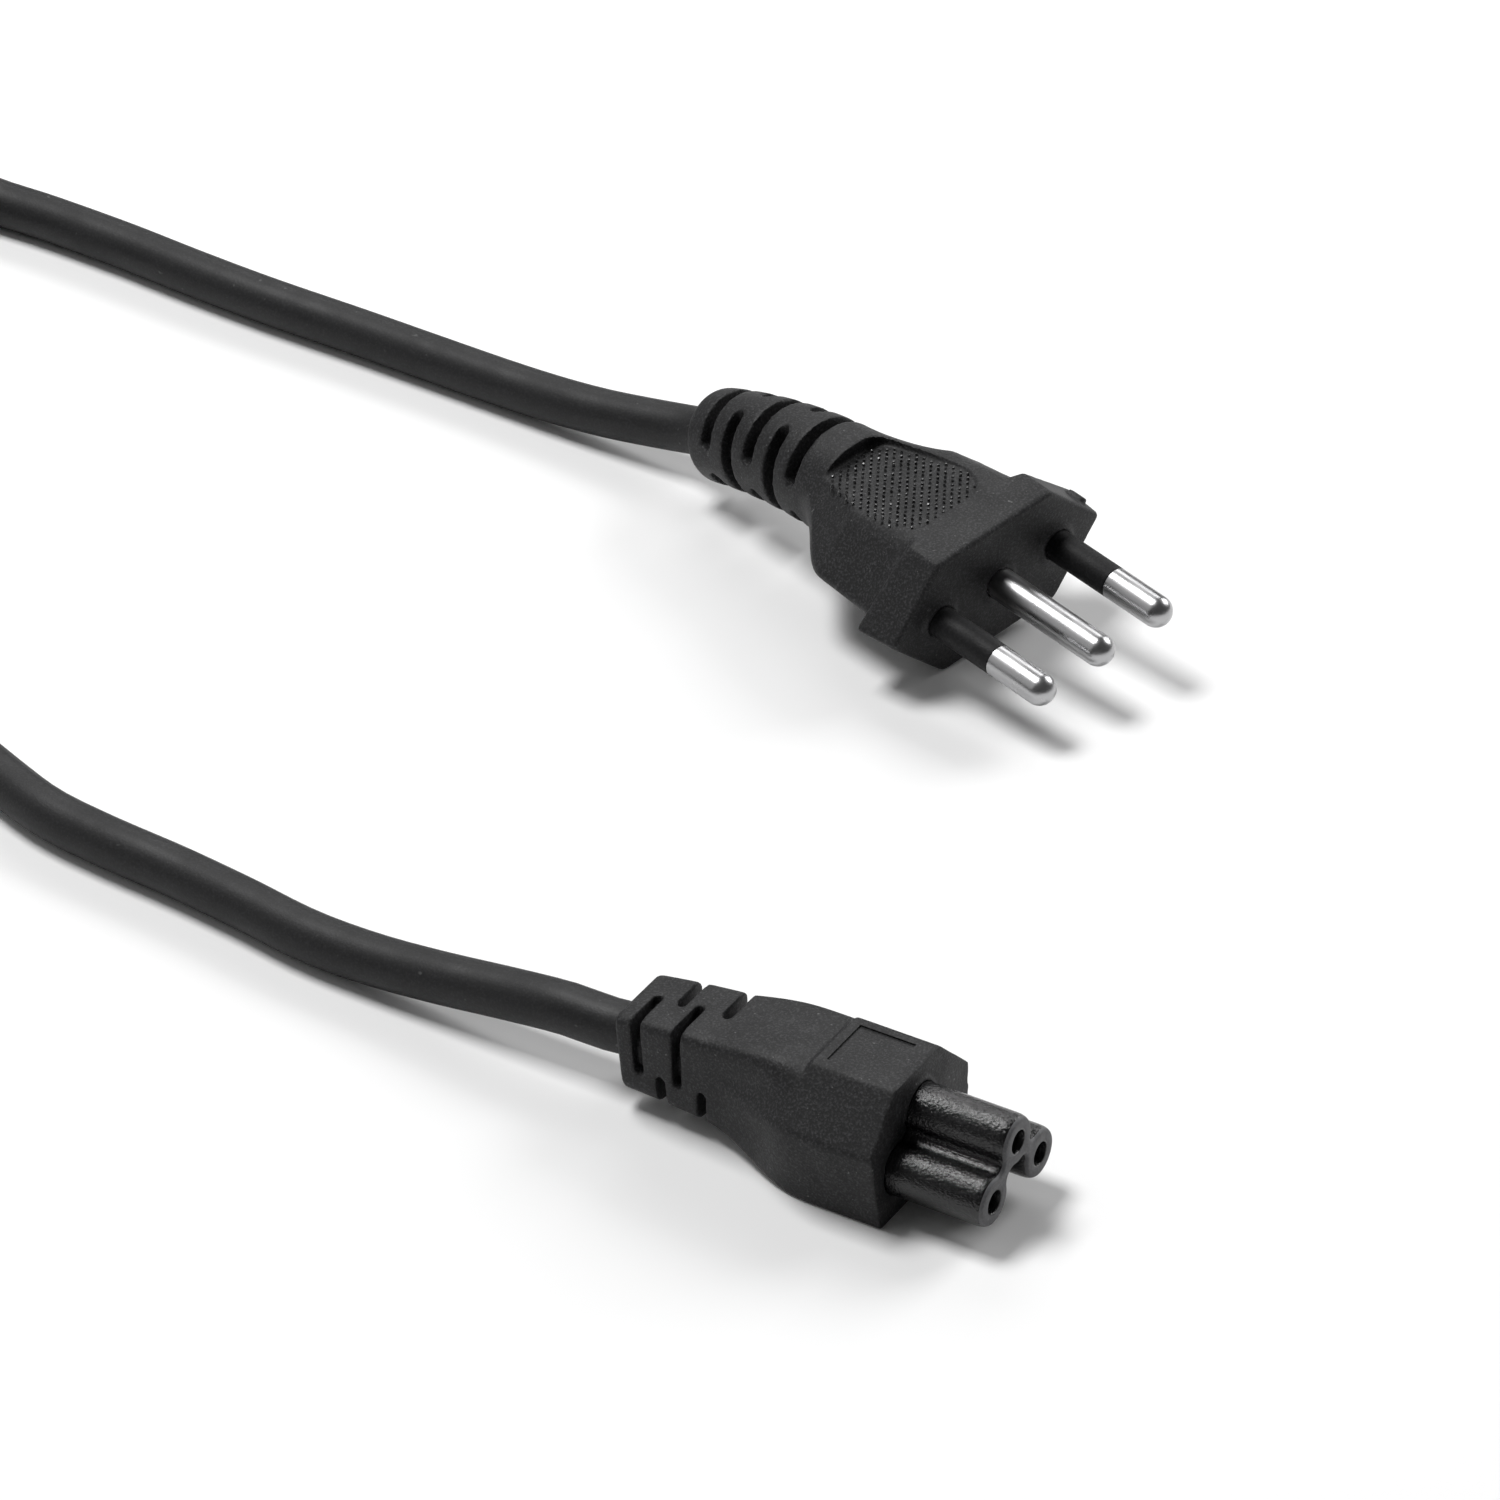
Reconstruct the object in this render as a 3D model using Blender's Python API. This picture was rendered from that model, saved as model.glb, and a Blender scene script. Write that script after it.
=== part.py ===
# Cloverleaf mains cord: three-pole connector, round cord and flat three-pin plug, lying on a floor

import math

import bmesh
import bpy
import numpy as np
from mathutils import Matrix, Vector

MM = 0.001

# Fits
GAP = 0.3 * MM  # between two pieces that touch or plug together
CUT_OVERRUN = 1.0 * MM  # how far a cutter passes the skin it cuts

# Connector: overmould
CONNECTOR_LENGTH = 47.5 * MM  # nose tip to the back of the strain relief
NOSE_LENGTH = 12.55 * MM  # part of the nose that stands out of the shoulder
PAD_LENGTH = 10.35 * MM  # raised top pad, from the shoulder to its crease
PAD_STEP = 0.5 * MM  # the top behind the pad is this much lower
CONNECTOR_HEIGHT = 15.3 * MM
TOP_HALF_WIDTH = 4.75 * MM  # half of the flat top
SIDE_HALF_WIDTH = 10.6 * MM  # half of the widest place
SIDE_HEIGHT = 9.5 * MM  # height of the widest place
BASE_HALF_WIDTH = 9.5 * MM
EDGE_RADIUS = 0.5 * MM
BACK_TOP_BULGE = 0.7 * MM  # the top is this much wider halfway to the strain relief
BACK_EDGE_RADIUS = 3.0 * MM
SHOULDER_LEAN = 1.1 * MM  # the shoulder's foot stands this far ahead of its top
FLARE_LENGTH = 15.0 * MM  # from the strain relief to the full width
RELIEF_LENGTH = 11.5 * MM
RELIEF_BACK_HALF = (5.0 * MM, 5.0 * MM)  # half width and half height at the cord
RELIEF_FRONT_HALF = (5.6 * MM, 5.8 * MM)  # and at the overmould
RELIEF_FRONT_HEIGHT = 7.5 * MM  # middle of the section above the floor, at the overmould
RELIEF_BEND = 6.0  # degrees that the strain relief has bent down
RELIEF_CORNER = 2.3 * MM
RELIEF_END_ROUND = 0.5 * MM
CONNECTOR_SLOTS = (2.7 * MM, 5.6 * MM, 7.84 * MM, 11.1 * MM)  # from the back face to their middles
CONNECTOR_SLOT_WIDTH = 1.2 * MM
CONNECTOR_CORE = 4.0 * MM  # slots stop here, over the cord
LONG_SLOT_ANGLES = ((84, 201), (264, 381))  # degrees round the section, first and third rows
SHORT_SLOT_ANGLES = ((13, 96), (193, 276))  # second and fourth rows
PANEL_LENGTH = 7.0 * MM  # sunk rectangle on the top pad
PANEL_WIDTH = 7.2 * MM
PANEL_DEPTH = 0.2 * MM
PANEL_FROM_SHOULDER = 2.2 * MM

# Connector: cloverleaf nose and its contacts
LOBE_RADIUS = 3.0 * MM
LOBE_SPACING = 10.0 * MM  # line to neutral
EARTH_RISE = 4.85 * MM  # earth above the other two
LOWER_LOBE_HEIGHT = 5.4 * MM  # line and neutral above the floor
LOBE_FILLET = 1.1 * MM  # hollow fillet between two lobes
NOSE_EDGE_LENGTH = 1.25 * MM  # the eased front edge, along the nose
NOSE_EDGE_INSET = 0.5 * MM  # and across it
NOSE_SEAT = 4.0 * MM  # how deep the nose sits in the overmould
MOUTH_RADIUS = 1.35 * MM
MOUTH_DEPTH = 2.2 * MM
CONTACT_WALL = 0.45 * MM
CONTACT_RADIUS = 1.65 * MM

# Plug: overmould
FLANGE_DEPTH = 5.0 * MM
FLANGE_TIP = 16.9 * MM  # half of the width across the tips, at the face
FLANGE_DRAFT = 0.6 * MM  # the tips stand out this much more at the flange's back
FLANGE_TIP_DEPTH = 6.0 * MM  # and reach back to here
FLANGE_TOP_HALF_WIDTH = 9.15 * MM
FLANGE_HALF_HEIGHT = 8.45 * MM
FLANGE_EDGE = 0.3 * MM
FLANGE_STEP_LENGTH = 1.6 * MM  # soft step behind the flange
FLANGE_STEP_SHARE = 0.8  # of the step that is done halfway along it
BODY_TIP = 14.4 * MM  # behind the flange
BODY_TOP_HALF_WIDTH = 8.2 * MM
BODY_HALF_HEIGHT = 8.35 * MM
WAIST_TIP = 14.0 * MM  # where the body begins to narrow
WAIST_TOP_HALF_WIDTH = 7.2 * MM
WAIST_HALF_HEIGHT = 7.2 * MM
WAIST = 16.0 * MM  # behind the front face
BODY_SHIFT = 0.45 * MM  # the body's middle lies this far to the near side of the flange's
NECK = 28.0 * MM  # where it has become the round neck
NECK_RADIUS = 7.0 * MM
TIP_NARROWING = 1.65  # larger makes the tips stay wide for longer on the way to the neck
FLAT_NARROWING = 0.9  # the same for the flats
PLUG_RELIEF_BACK = 5.9 * MM  # radius at the cord
PLUG_END_ROUND = 1.6 * MM
BODY_EDGE_RADIUS = 2.4 * MM  # along the two flats
BODY_TIP_RADIUS = 0.9 * MM
BEND_START = 20.0 * MM  # behind the front face
BEND_LENGTH = 29.4 * MM  # from there to the cord
BEND_DOWN = 23.0  # degrees that the strain relief has bent
BEND_SIDEWAYS = 3.0  # degrees, towards the near side
PLUG_SLOT_COUNT = 5
PLUG_SLOT_FIRST = 4.4 * MM  # from the back end to its middle
PLUG_SLOT_PITCH = 3.95 * MM
PLUG_SLOT_WIDTH = 1.8 * MM
TOP_SLOT_SPAN = 75  # degrees on either side of the top and the bottom
SIDE_SLOT_SPAN = 74  # degrees on either side of the left and the right
PLUG_CORE = 4.3 * MM  # slots stop here, over the cord
GRIP_FROM_FACE = 6.1 * MM
GRIP_LENGTH = 18.2 * MM
GRIP_FRONT_HALF_WIDTH = 5.0 * MM
GRIP_WIDEST = 4.4 * MM  # behind its front
GRIP_HALF_WIDTH = 7.4 * MM
GRIP_BACK_HALF_WIDTH = 5.3 * MM
GRIP_SHIFT = 1.5 * MM  # its middle lies this far to the near side of the flange's
GRIP_CORNER = 2.4 * MM
GRIP_DEPTH = 2.0 * MM  # at the back, running out to nothing at the front

# Plug: pins
PIN_RADIUS = 2.0 * MM
PIN_LENGTH = 19.0 * MM  # out of the front face
PIN_SPACING = 9.5 * MM
PIN_SEAT = 7.0 * MM  # into the overmould
PIN_NECK_RADIUS = 1.35 * MM  # under the sleeve
SLEEVE_LENGTH = 10.0 * MM  # out of the front face
SLEEVE_SEAT = 2.0 * MM

# Plug: where it lies
PLUG_PLACE = (-32.4 * MM, 94.75 * MM)
PLUG_FLOOR_GAP = 0.1 * MM
PLUG_YAW = -16.6
PLUG_PITCH = -4.3  # pins down
PLUG_ROLL = 7.85

# Cord
CORD_DIAMETER = 6.0 * MM
POINT_STEP = 2.4  # diameters from one point of a tube to the next
CORD_SIDES = 3  # bevel resolution of the tubes
STRAIGHT_OUT = 4.5 * MM  # from a strain relief before the cord bends
# The route lies on the floor, in millimetres
CONNECTOR_ROUTE = (
    (-33.5, 0.0, 6.4),
    (-41.3, 0.0, 5.5),
    (-50.2, 0.0, 4.3),
    (-59.0, 0.0, 3.5),
    (-68.0, 0.4, 3.2),
    (-78.0, 2.0, 3.1),
    (-88.0, 3.2, 3.1),
    (-98.0, 4.0, 3.1),
    (-107.0, 5.3, 3.1),
    (-115.8, 8.3, 3.1),
    (-128.0, 13.2, 3.1),
    (-141.0, 18.8, 3.1),
    (-155.0, 24.2, 3.1),
    (-170.0, 29.0, 3.1),
    (-185.0, 32.7, 3.1),
    (-200.0, 35.3, 3.4),
)
PLUG_ROUTE = (
    (-90.0, 110.2, 4.9),
    (-97.0, 110.3, 4.0),
    (-104.0, 110.5, 3.5),
    (-112.0, 110.9, 3.2),
    (-122.0, 111.4, 3.1),
    (-134.0, 111.9, 3.1),
    (-148.0, 112.3, 3.1),
    (-160.0, 113.1, 3.1),
    (-172.0, 114.2, 3.1),
    (-184.0, 114.8, 3.1),
    (-192.0, 114.7, 3.2),
    (-200.0, 114.4, 4.3),
)
MEETING_HEIGHTS = (3.9 * MM, 8.0 * MM)  # where the two stretches come up to the coil

# Coil of the rest of the cord
COIL_CENTRE = (-236.0 * MM, 75.0 * MM)
COIL_RADIUS = 33.0 * MM  # to the middle of its turns
COIL_COLUMNS = 3
COIL_LAYERS = 2
COIL_EDGE_RADIUS = 2.6 * MM
TIE_THICKNESS = 0.7 * MM
TIE_WIDTH = 7.0 * MM
TIE_SIDE_GAP = 0.7 * MM
TIE_RADIUS = 3.0 * MM
TIE_ANGLE = 205

# Sizes that follow from the others
NOSE_TIP = CONNECTOR_LENGTH / 2
SHOULDER = NOSE_TIP - NOSE_LENGTH
PAD_BACK = SHOULDER - PAD_LENGTH
CONNECTOR_BACK = -CONNECTOR_LENGTH / 2
RELIEF_FRONT = CONNECTOR_BACK + RELIEF_LENGTH
BACK_TOP_HEIGHT = CONNECTOR_HEIGHT - PAD_STEP
CHAMFER_SLOPE = (SIDE_HALF_WIDTH - TOP_HALF_WIDTH) / (CONNECTOR_HEIGHT - SIDE_HEIGHT)
BACK_TOP_HALF_WIDTH = TOP_HALF_WIDTH + PAD_STEP * CHAMFER_SLOPE  # the chamfer runs on past the pad
EARTH_HEIGHT = LOWER_LOBE_HEIGHT + EARTH_RISE
CHAMBER_RADIUS = CONTACT_RADIUS + GAP
PLUG_LENGTH = BEND_START + BEND_LENGTH  # along the middle line
COIL_WIDTH = COIL_COLUMNS * CORD_DIAMETER
COIL_HEIGHT = COIL_LAYERS * CORD_DIAMETER
COIL_BOTTOM = TIE_THICKNESS + GAP


def clear_scene():
    for thing in list(bpy.data.objects):
        bpy.data.objects.remove(thing, do_unlink=True)


def material(name, colour, roughness, metallic=0.0):
    made = bpy.data.materials.new(name)
    made.use_nodes = True
    shader = made.node_tree.nodes["Principled BSDF"]
    shader.inputs["Base Color"].default_value = (*colour, 1.0)
    shader.inputs["Roughness"].default_value = roughness
    shader.inputs["Metallic"].default_value = metallic
    return made


def finish_object(name, bm, finish, smooth_angle=30):
    bmesh.ops.recalc_face_normals(bm, faces=bm.faces)
    mesh = bpy.data.meshes.new(name)
    bm.to_mesh(mesh)
    bm.free()
    mesh.shade_smooth()
    mesh.set_sharp_from_angle(angle=math.radians(smooth_angle))
    thing = bpy.data.objects.new(name, mesh)
    bpy.context.collection.objects.link(thing)
    if finish:
        mesh.materials.append(finish)
    return thing


def cut(thing, cutter):
    """Takes the cutter's shape out of a piece."""
    cutter.hide_render = True
    cutter.display_type = "WIRE"
    modifier = thing.modifiers.new("cut_" + cutter.name, "BOOLEAN")
    modifier.operation = "DIFFERENCE"
    modifier.object = cutter


def add_loft(bm, rings):
    """Skins a row of equal rings and closes both ends."""
    loops = [[bm.verts.new(point) for point in ring] for ring in rings]
    count = len(loops[0])
    for near, far in zip(loops, loops[1:]):
        for i in range(count):
            j = (i + 1) % count
            bm.faces.new((near[i], near[j], far[j], far[i]))
    bm.faces.new(loops[0])
    bm.faces.new(reversed(loops[-1]))


def arc_points(centre, radius, start, end, steps):
    """Points on an arc, angles in degrees, counterclockwise where end is larger."""
    angles = [math.radians(start + (end - start) * i / steps) for i in range(steps + 1)]
    return [(centre[0] + radius * math.cos(a), centre[1] + radius * math.sin(a)) for a in angles]


def rounded_outline(corners, radius, steps=3):
    """A closed outline with eased corners: one radius for all of them, or a list with one for each."""
    outline = []
    count = len(corners)
    radii = radius if isinstance(radius, list) else [radius] * count
    for i, corner in enumerate(corners):
        here = Vector(corner)
        before = (Vector(corners[i - 1]) - here)
        after = (Vector(corners[(i + 1) % count]) - here)
        ease = min(radii[i], 0.45 * before.length, 0.45 * after.length)
        start = here + before.normalized() * ease
        end = here + after.normalized() * ease
        for k in range(steps + 1):
            t = k / steps
            outline.append(tuple(start * (1 - t) ** 2 + here * 2 * t * (1 - t) + end * t ** 2))
    return outline


def blend(a, b, t):
    return tuple(p + (q - p) * t for p, q in zip(a, b))


def ease(t):
    """From 0 to 1 with level ends."""
    t = min(1.0, max(0.0, t))
    return t * t * (3 - 2 * t)


def connector_section(x, top, side, base, top_radius, low_radius):
    """One cross-section of the connector: half width and height at top, side and base."""
    radii = [top_radius] * 2 + [low_radius] * 4
    corners = [(top[0], top[1]), (-top[0], top[1]), (-side[0], side[1]),
               (-base[0], base[1]), (base[0], base[1]), (side[0], side[1])]
    return [(x, y, z) for y, z in rounded_outline(corners, radii)]


def relief_frame(along):
    """A place on the connector's strain relief, this far behind its front end: one even bend downwards."""
    turn = math.radians(RELIEF_BEND * max(0.0, along) / RELIEF_LENGTH)
    place = Matrix.Rotation(-turn / 2, 4, "Y") @ Vector((-along, 0.0, 0.0))
    place += Vector((RELIEF_FRONT, 0.0, RELIEF_FRONT_HEIGHT))
    return Matrix.Translation(place) @ Matrix.Rotation(-turn, 4, "Y")


def relief_ring(along, inset=0.0):
    """The rounded square of the strain relief, side points at mid-height."""
    wide, high = (size - inset for size in blend(RELIEF_FRONT_HALF, RELIEF_BACK_HALF, along / RELIEF_LENGTH))
    frame = relief_frame(along)
    corners = [(wide, high), (-wide, high), (-wide, 0.0), (-wide, -high), (wide, -high), (wide, 0.0)]
    return [frame @ Vector((0.0, y, z)) for y, z in rounded_outline(corners, RELIEF_CORNER)]


def connector_rings():
    """Sections from the back of the strain relief to the shoulder."""
    rings = [relief_ring(RELIEF_LENGTH, RELIEF_END_ROUND)]
    rings += [relief_ring(along) for along in np.linspace(RELIEF_LENGTH - RELIEF_END_ROUND, 0.0, 5)]
    wide, high = RELIEF_FRONT_HALF
    start = [(wide, RELIEF_FRONT_HEIGHT + rise) for rise in (high, 0.0, -high)]
    side, base = (SIDE_HALF_WIDTH, SIDE_HEIGHT), (BASE_HALF_WIDTH, 0.0)
    crease = PAD_BACK - PAD_STEP
    for x in np.linspace(RELIEF_FRONT, crease, 8)[1:]:
        t = (x - RELIEF_FRONT) / (crease - RELIEF_FRONT)
        swell = ease((x - RELIEF_FRONT) / FLARE_LENGTH)
        top = (wide + (BACK_TOP_HALF_WIDTH - wide) * t + BACK_TOP_BULGE * math.sin(math.pi * t),
               start[0][1] + (BACK_TOP_HEIGHT - start[0][1]) * math.sin(math.pi / 2 * t))
        rings.append(connector_section(x, top, blend(start[1], side, swell), blend(start[2], base, swell),
                                       RELIEF_CORNER + (BACK_EDGE_RADIUS - RELIEF_CORNER) * t,
                                       RELIEF_CORNER + (EDGE_RADIUS - RELIEF_CORNER) * t))
    for x in (PAD_BACK, RELIEF_FRONT + FLARE_LENGTH, SHOULDER):
        swell = ease((x - RELIEF_FRONT) / FLARE_LENGTH)
        rings.append(connector_section(x, (TOP_HALF_WIDTH, CONNECTOR_HEIGHT), blend(start[1], side, swell),
                                       blend(start[2], base, swell), EDGE_RADIUS, EDGE_RADIUS))
    rings[-1] = [(x + SHOULDER_LEAN * (1 - z / CONNECTOR_HEIGHT), y, z) for x, y, z in rings[-1]]
    return rings


def sector(bm, frame, inner, outer, start, end, width):
    """A slot cutter: part of a flat ring round a piece, angles in degrees."""
    steps = max(4, round((end - start) / 12))
    half = width / 2
    outline = arc_points((0, 0), outer, start, end, steps)
    outline += reversed(arc_points((0, 0), inner, start, end, steps))
    rings = [[frame @ Vector((x, y, z)) for y, z in outline] for x in (-half, half)]
    add_loft(bm, rings)


def box(bm, low, high):
    """An upright box between two corners."""
    made = bmesh.ops.create_cube(bm, size=1.0)["verts"]
    for vert in made:
        vert.co = Vector([low[i] if vert.co[i] < 0 else high[i] for i in range(3)])


def nose_outline(inset=0.0):
    """The cloverleaf in the connector's cross-section, moved inwards by the inset."""
    lobe = LOBE_RADIUS - inset
    fillet = LOBE_FILLET + inset
    earth = Vector((0.0, EARTH_HEIGHT))
    left = Vector((-LOBE_SPACING / 2, LOWER_LOBE_HEIGHT))
    middle = (earth + left) / 2
    along = (earth - left).normalized()
    across = Vector((-along.y, along.x))
    reach = math.sqrt((LOBE_RADIUS + LOBE_FILLET) ** 2 - ((earth - left).length / 2) ** 2)
    outer = middle + across * reach  # centre of the hollow fillet on the outside
    inner = middle - across * reach

    def angle(origin, target):
        way = target - origin
        return math.degrees(math.atan2(way.y, way.x)) % 360

    half = arc_points(earth, lobe, 90, angle(earth, outer), 6)
    half += arc_points(outer, fillet, angle(outer, earth) + 360, angle(outer, left), 5)[1:]
    half += arc_points(left, lobe, angle(left, outer), angle(left, inner) + 360, 14)[1:]
    half += arc_points(inner, fillet, angle(inner, left), angle(inner, earth), 5)[1:]
    half += arc_points(earth, lobe, angle(earth, inner), 270, 2)[1:]
    mirrored = [(-y, z) for y, z in reversed(half[1:-1])]
    return half + mirrored


def nose_cutter():
    bm = bmesh.new()
    depth = NOSE_SEAT + GAP
    ends = (SHOULDER - depth, SHOULDER + SHOULDER_LEAN + CUT_OVERRUN)
    rings = [[(x, y, z) for y, z in nose_outline(-GAP)] for x in ends]
    add_loft(bm, rings)
    return finish_object("nose_pocket", bm, None)


def connector_slot_cutter():
    bm = bmesh.new()
    reach = math.hypot(*RELIEF_FRONT_HALF) + CUT_OVERRUN
    for row, from_back in enumerate(CONNECTOR_SLOTS):
        frame = relief_frame(RELIEF_LENGTH - from_back)
        for start, end in SHORT_SLOT_ANGLES if row % 2 else LONG_SLOT_ANGLES:
            sector(bm, frame, CONNECTOR_CORE, reach, start, end, CONNECTOR_SLOT_WIDTH)
    return finish_object("connector_slots", bm, None)


def panel_cutter():
    bm = bmesh.new()
    front = SHOULDER - PANEL_FROM_SHOULDER
    box(bm, (front - PANEL_LENGTH, -PANEL_WIDTH / 2, CONNECTOR_HEIGHT - PANEL_DEPTH),
        (front, PANEL_WIDTH / 2, CONNECTOR_HEIGHT + CUT_OVERRUN))
    return finish_object("panel_recess", bm, None)


def make_connector_body(finish):
    bm = bmesh.new()
    add_loft(bm, connector_rings())
    body = finish_object("connector_body", bm, finish)
    cut(body, nose_cutter())
    cut(body, connector_slot_cutter())
    cut(body, panel_cutter())


def lobe_centres():
    half = LOBE_SPACING / 2
    return {"line": (-half, LOWER_LOBE_HEIGHT), "neutral": (half, LOWER_LOBE_HEIGHT),
            "earth": (0.0, EARTH_HEIGHT)}


def turned(bm, profile, centre, sides):
    """A solid turned about a line along X: profile points are distance along X and radius."""
    rings = []
    for x, radius in profile:
        rings.append([(x, centre[0] + radius * math.cos(a), centre[1] + radius * math.sin(a))
                      for a in np.linspace(0, 2 * math.pi, sides, endpoint=False)])
    add_loft(bm, rings)


def make_connector_nose(finish):
    back = SHOULDER - NOSE_SEAT
    rings = [[(back, y, z) for y, z in nose_outline()]]
    for k in range(4):
        turn = math.radians(30 * k)
        inset = NOSE_EDGE_INSET * (1 - math.cos(turn))
        x = NOSE_TIP - NOSE_EDGE_LENGTH * (1 - math.sin(turn))
        rings.append([(x, y, z) for y, z in nose_outline(inset)])
    bm = bmesh.new()
    add_loft(bm, rings)
    nose = finish_object("connector_nose", bm, finish)
    bores = bmesh.new()
    profile = [(back - CUT_OVERRUN, CHAMBER_RADIUS), (NOSE_TIP - MOUTH_DEPTH, CHAMBER_RADIUS),
               (NOSE_TIP - MOUTH_DEPTH, MOUTH_RADIUS), (NOSE_TIP + CUT_OVERRUN, MOUTH_RADIUS)]
    for centre in lobe_centres().values():
        turned(bores, profile, centre, 20)
    cut(nose, finish_object("nose_bores", bores, None))


def tube(name, profile, centre, sides, finish):
    """A tube turned about a line along X, from a closed profile of distance and radius."""
    bm = bmesh.new()
    rings = []
    for a in np.linspace(0, 2 * math.pi, sides, endpoint=False):
        across, up = math.cos(a), math.sin(a)
        rings.append([bm.verts.new((x, centre[0] + r * across, centre[1] + r * up)) for x, r in profile])
    count = len(profile)
    for near, far in zip(rings, rings[1:] + rings[:1]):
        for i in range(count):
            j = (i + 1) % count
            bm.faces.new((near[i], near[j], far[j], far[i]))
    return finish_object(name, bm, finish)


def make_contacts(finish):
    """Female contact tubes, one in each lobe."""
    back = SHOULDER - NOSE_SEAT + GAP
    front = NOSE_TIP - MOUTH_DEPTH - GAP
    bore = CONTACT_RADIUS - CONTACT_WALL
    profile = [(back, CONTACT_RADIUS), (front, CONTACT_RADIUS), (front, bore), (back, bore)]
    for pole, centre in lobe_centres().items():
        tube("contact_" + pole, profile, centre, 16, finish)


def plug_frame(along):
    """A place on the plug's middle line, this far behind the front face: straight, then one even bend."""
    bent = max(0.0, along - BEND_START) / BEND_LENGTH
    down = Matrix.Rotation(math.radians(-BEND_DOWN * bent), 4, "Y")
    side = Matrix.Rotation(math.radians(BEND_SIDEWAYS * bent), 4, "Z")
    half = (Matrix.Rotation(math.radians(BEND_SIDEWAYS * bent / 2), 4, "Z")
            @ Matrix.Rotation(math.radians(-BEND_DOWN * bent / 2), 4, "Y"))
    chord = bent * BEND_LENGTH
    place = Vector((-min(along, BEND_START), 0.0, 0.0)) + half @ Vector((-chord, 0.0, 0.0))
    return Matrix.Translation(place) @ side @ down


def hexagon(tip, top, height, radius):
    """The flat six-sided section, four points at each corner."""
    corners = [(tip, 0.0), (top, height), (-top, height), (-tip, 0.0), (-top, -height), (top, -height)]
    return rounded_outline(corners, radius)


def body_hexagon(tip, top, height):
    """The section behind the flange, with softer edges and a little to one side."""
    radii = [BODY_TIP_RADIUS, BODY_EDGE_RADIUS, BODY_EDGE_RADIUS] * 2
    return [(y - BODY_SHIFT, z) for y, z in hexagon(tip, top, height, radii)]


def circle(radius):
    """A round section whose points match the hexagon's."""
    points = []
    for corner in range(6):
        for k in range(4):
            angle = math.radians(60 * corner + 15 * k - 22.5)
            points.append((radius * math.cos(angle), radius * math.sin(angle)))
    return points


def plug_ring(along, section):
    frame = plug_frame(along)
    return [frame @ Vector((0.0, y, z)) for y, z in section]


def narrowing_section(t):
    """From the six-sided body (0) to the round neck (1), its two tips going in first."""
    waist = body_hexagon(WAIST_TIP, WAIST_TOP_HALF_WIDTH, WAIST_HALF_HEIGHT)
    tips = math.sin(t * math.pi / 2) ** TIP_NARROWING
    others = math.sin(t * math.pi / 2) ** FLAT_NARROWING
    shares = [tips if i // 4 in (0, 3) else others for i in range(len(waist))]
    return [blend(p, q, share) for p, q, share in zip(waist, circle(NECK_RADIUS), shares)]


def flange_rings():
    """The flange, its tips a little larger and further back than its flats."""
    face = (FLANGE_TIP, FLANGE_TOP_HALF_WIDTH, FLANGE_HALF_HEIGHT)
    rings = [plug_ring(0.0, hexagon(*(size - FLANGE_EDGE for size in face), EDGE_RADIUS)),
             plug_ring(FLANGE_EDGE, hexagon(*face, EDGE_RADIUS))]
    further = (FLANGE_TIP_DEPTH - FLANGE_DEPTH) / (FLANGE_TIP - FLANGE_TOP_HALF_WIDTH)
    for along, inset in ((FLANGE_DEPTH - FLANGE_EDGE, 0.0), (FLANGE_DEPTH, FLANGE_EDGE)):
        tip = FLANGE_TIP + FLANGE_DRAFT - inset
        ring = plug_ring(along, hexagon(tip, FLANGE_TOP_HALF_WIDTH, FLANGE_HALF_HEIGHT, EDGE_RADIUS))
        for point in ring:
            point.x -= further * max(0.0, abs(point.y) - FLANGE_TOP_HALF_WIDTH)
        rings.append(ring)
    return rings


def plug_rings():
    """Sections from the front face to the back of the strain relief."""
    flange = hexagon(FLANGE_TIP, FLANGE_TOP_HALF_WIDTH, FLANGE_HALF_HEIGHT, EDGE_RADIUS)
    body = body_hexagon(BODY_TIP, BODY_TOP_HALF_WIDTH, BODY_HALF_HEIGHT)
    stepping_in = [blend(p, q, FLANGE_STEP_SHARE) for p, q in zip(flange, body)]
    rings = flange_rings()
    rings += [plug_ring(FLANGE_DEPTH + FLANGE_STEP_LENGTH / 2, stepping_in),
              plug_ring(FLANGE_DEPTH + FLANGE_STEP_LENGTH, body)]
    for t in np.linspace(0.0, 1.0, 9):
        rings.append(plug_ring(WAIST + (NECK - WAIST) * t, narrowing_section(t)))
    end = PLUG_LENGTH - PLUG_END_ROUND
    for t in (0.25, 0.5, 0.75):
        radius = NECK_RADIUS + (PLUG_RELIEF_BACK - NECK_RADIUS) * t
        rings.append(plug_ring(NECK + (end - NECK) * t, circle(radius)))
    for turn in (0, 30, 60, 85):
        inset = PLUG_END_ROUND * (1 - math.cos(math.radians(turn)))
        along = end + PLUG_END_ROUND * math.sin(math.radians(turn))
        rings.append(plug_ring(along, circle(PLUG_RELIEF_BACK - inset)))
    return rings


def plug_slot_cutter():
    """Rows of slots, in turn over the top and bottom and at the two sides."""
    bm = bmesh.new()
    reach = NECK_RADIUS + CUT_OVERRUN
    for row in range(PLUG_SLOT_COUNT):
        frame = plug_frame(PLUG_LENGTH - PLUG_SLOT_FIRST - row * PLUG_SLOT_PITCH)
        middles, span = ((0, 180), SIDE_SLOT_SPAN) if row % 2 else ((90, 270), TOP_SLOT_SPAN)
        for middle in middles:
            sector(bm, frame, PLUG_CORE, reach, middle - span, middle + span, PLUG_SLOT_WIDTH)
    return finish_object("plug_slots", bm, None)


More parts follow.
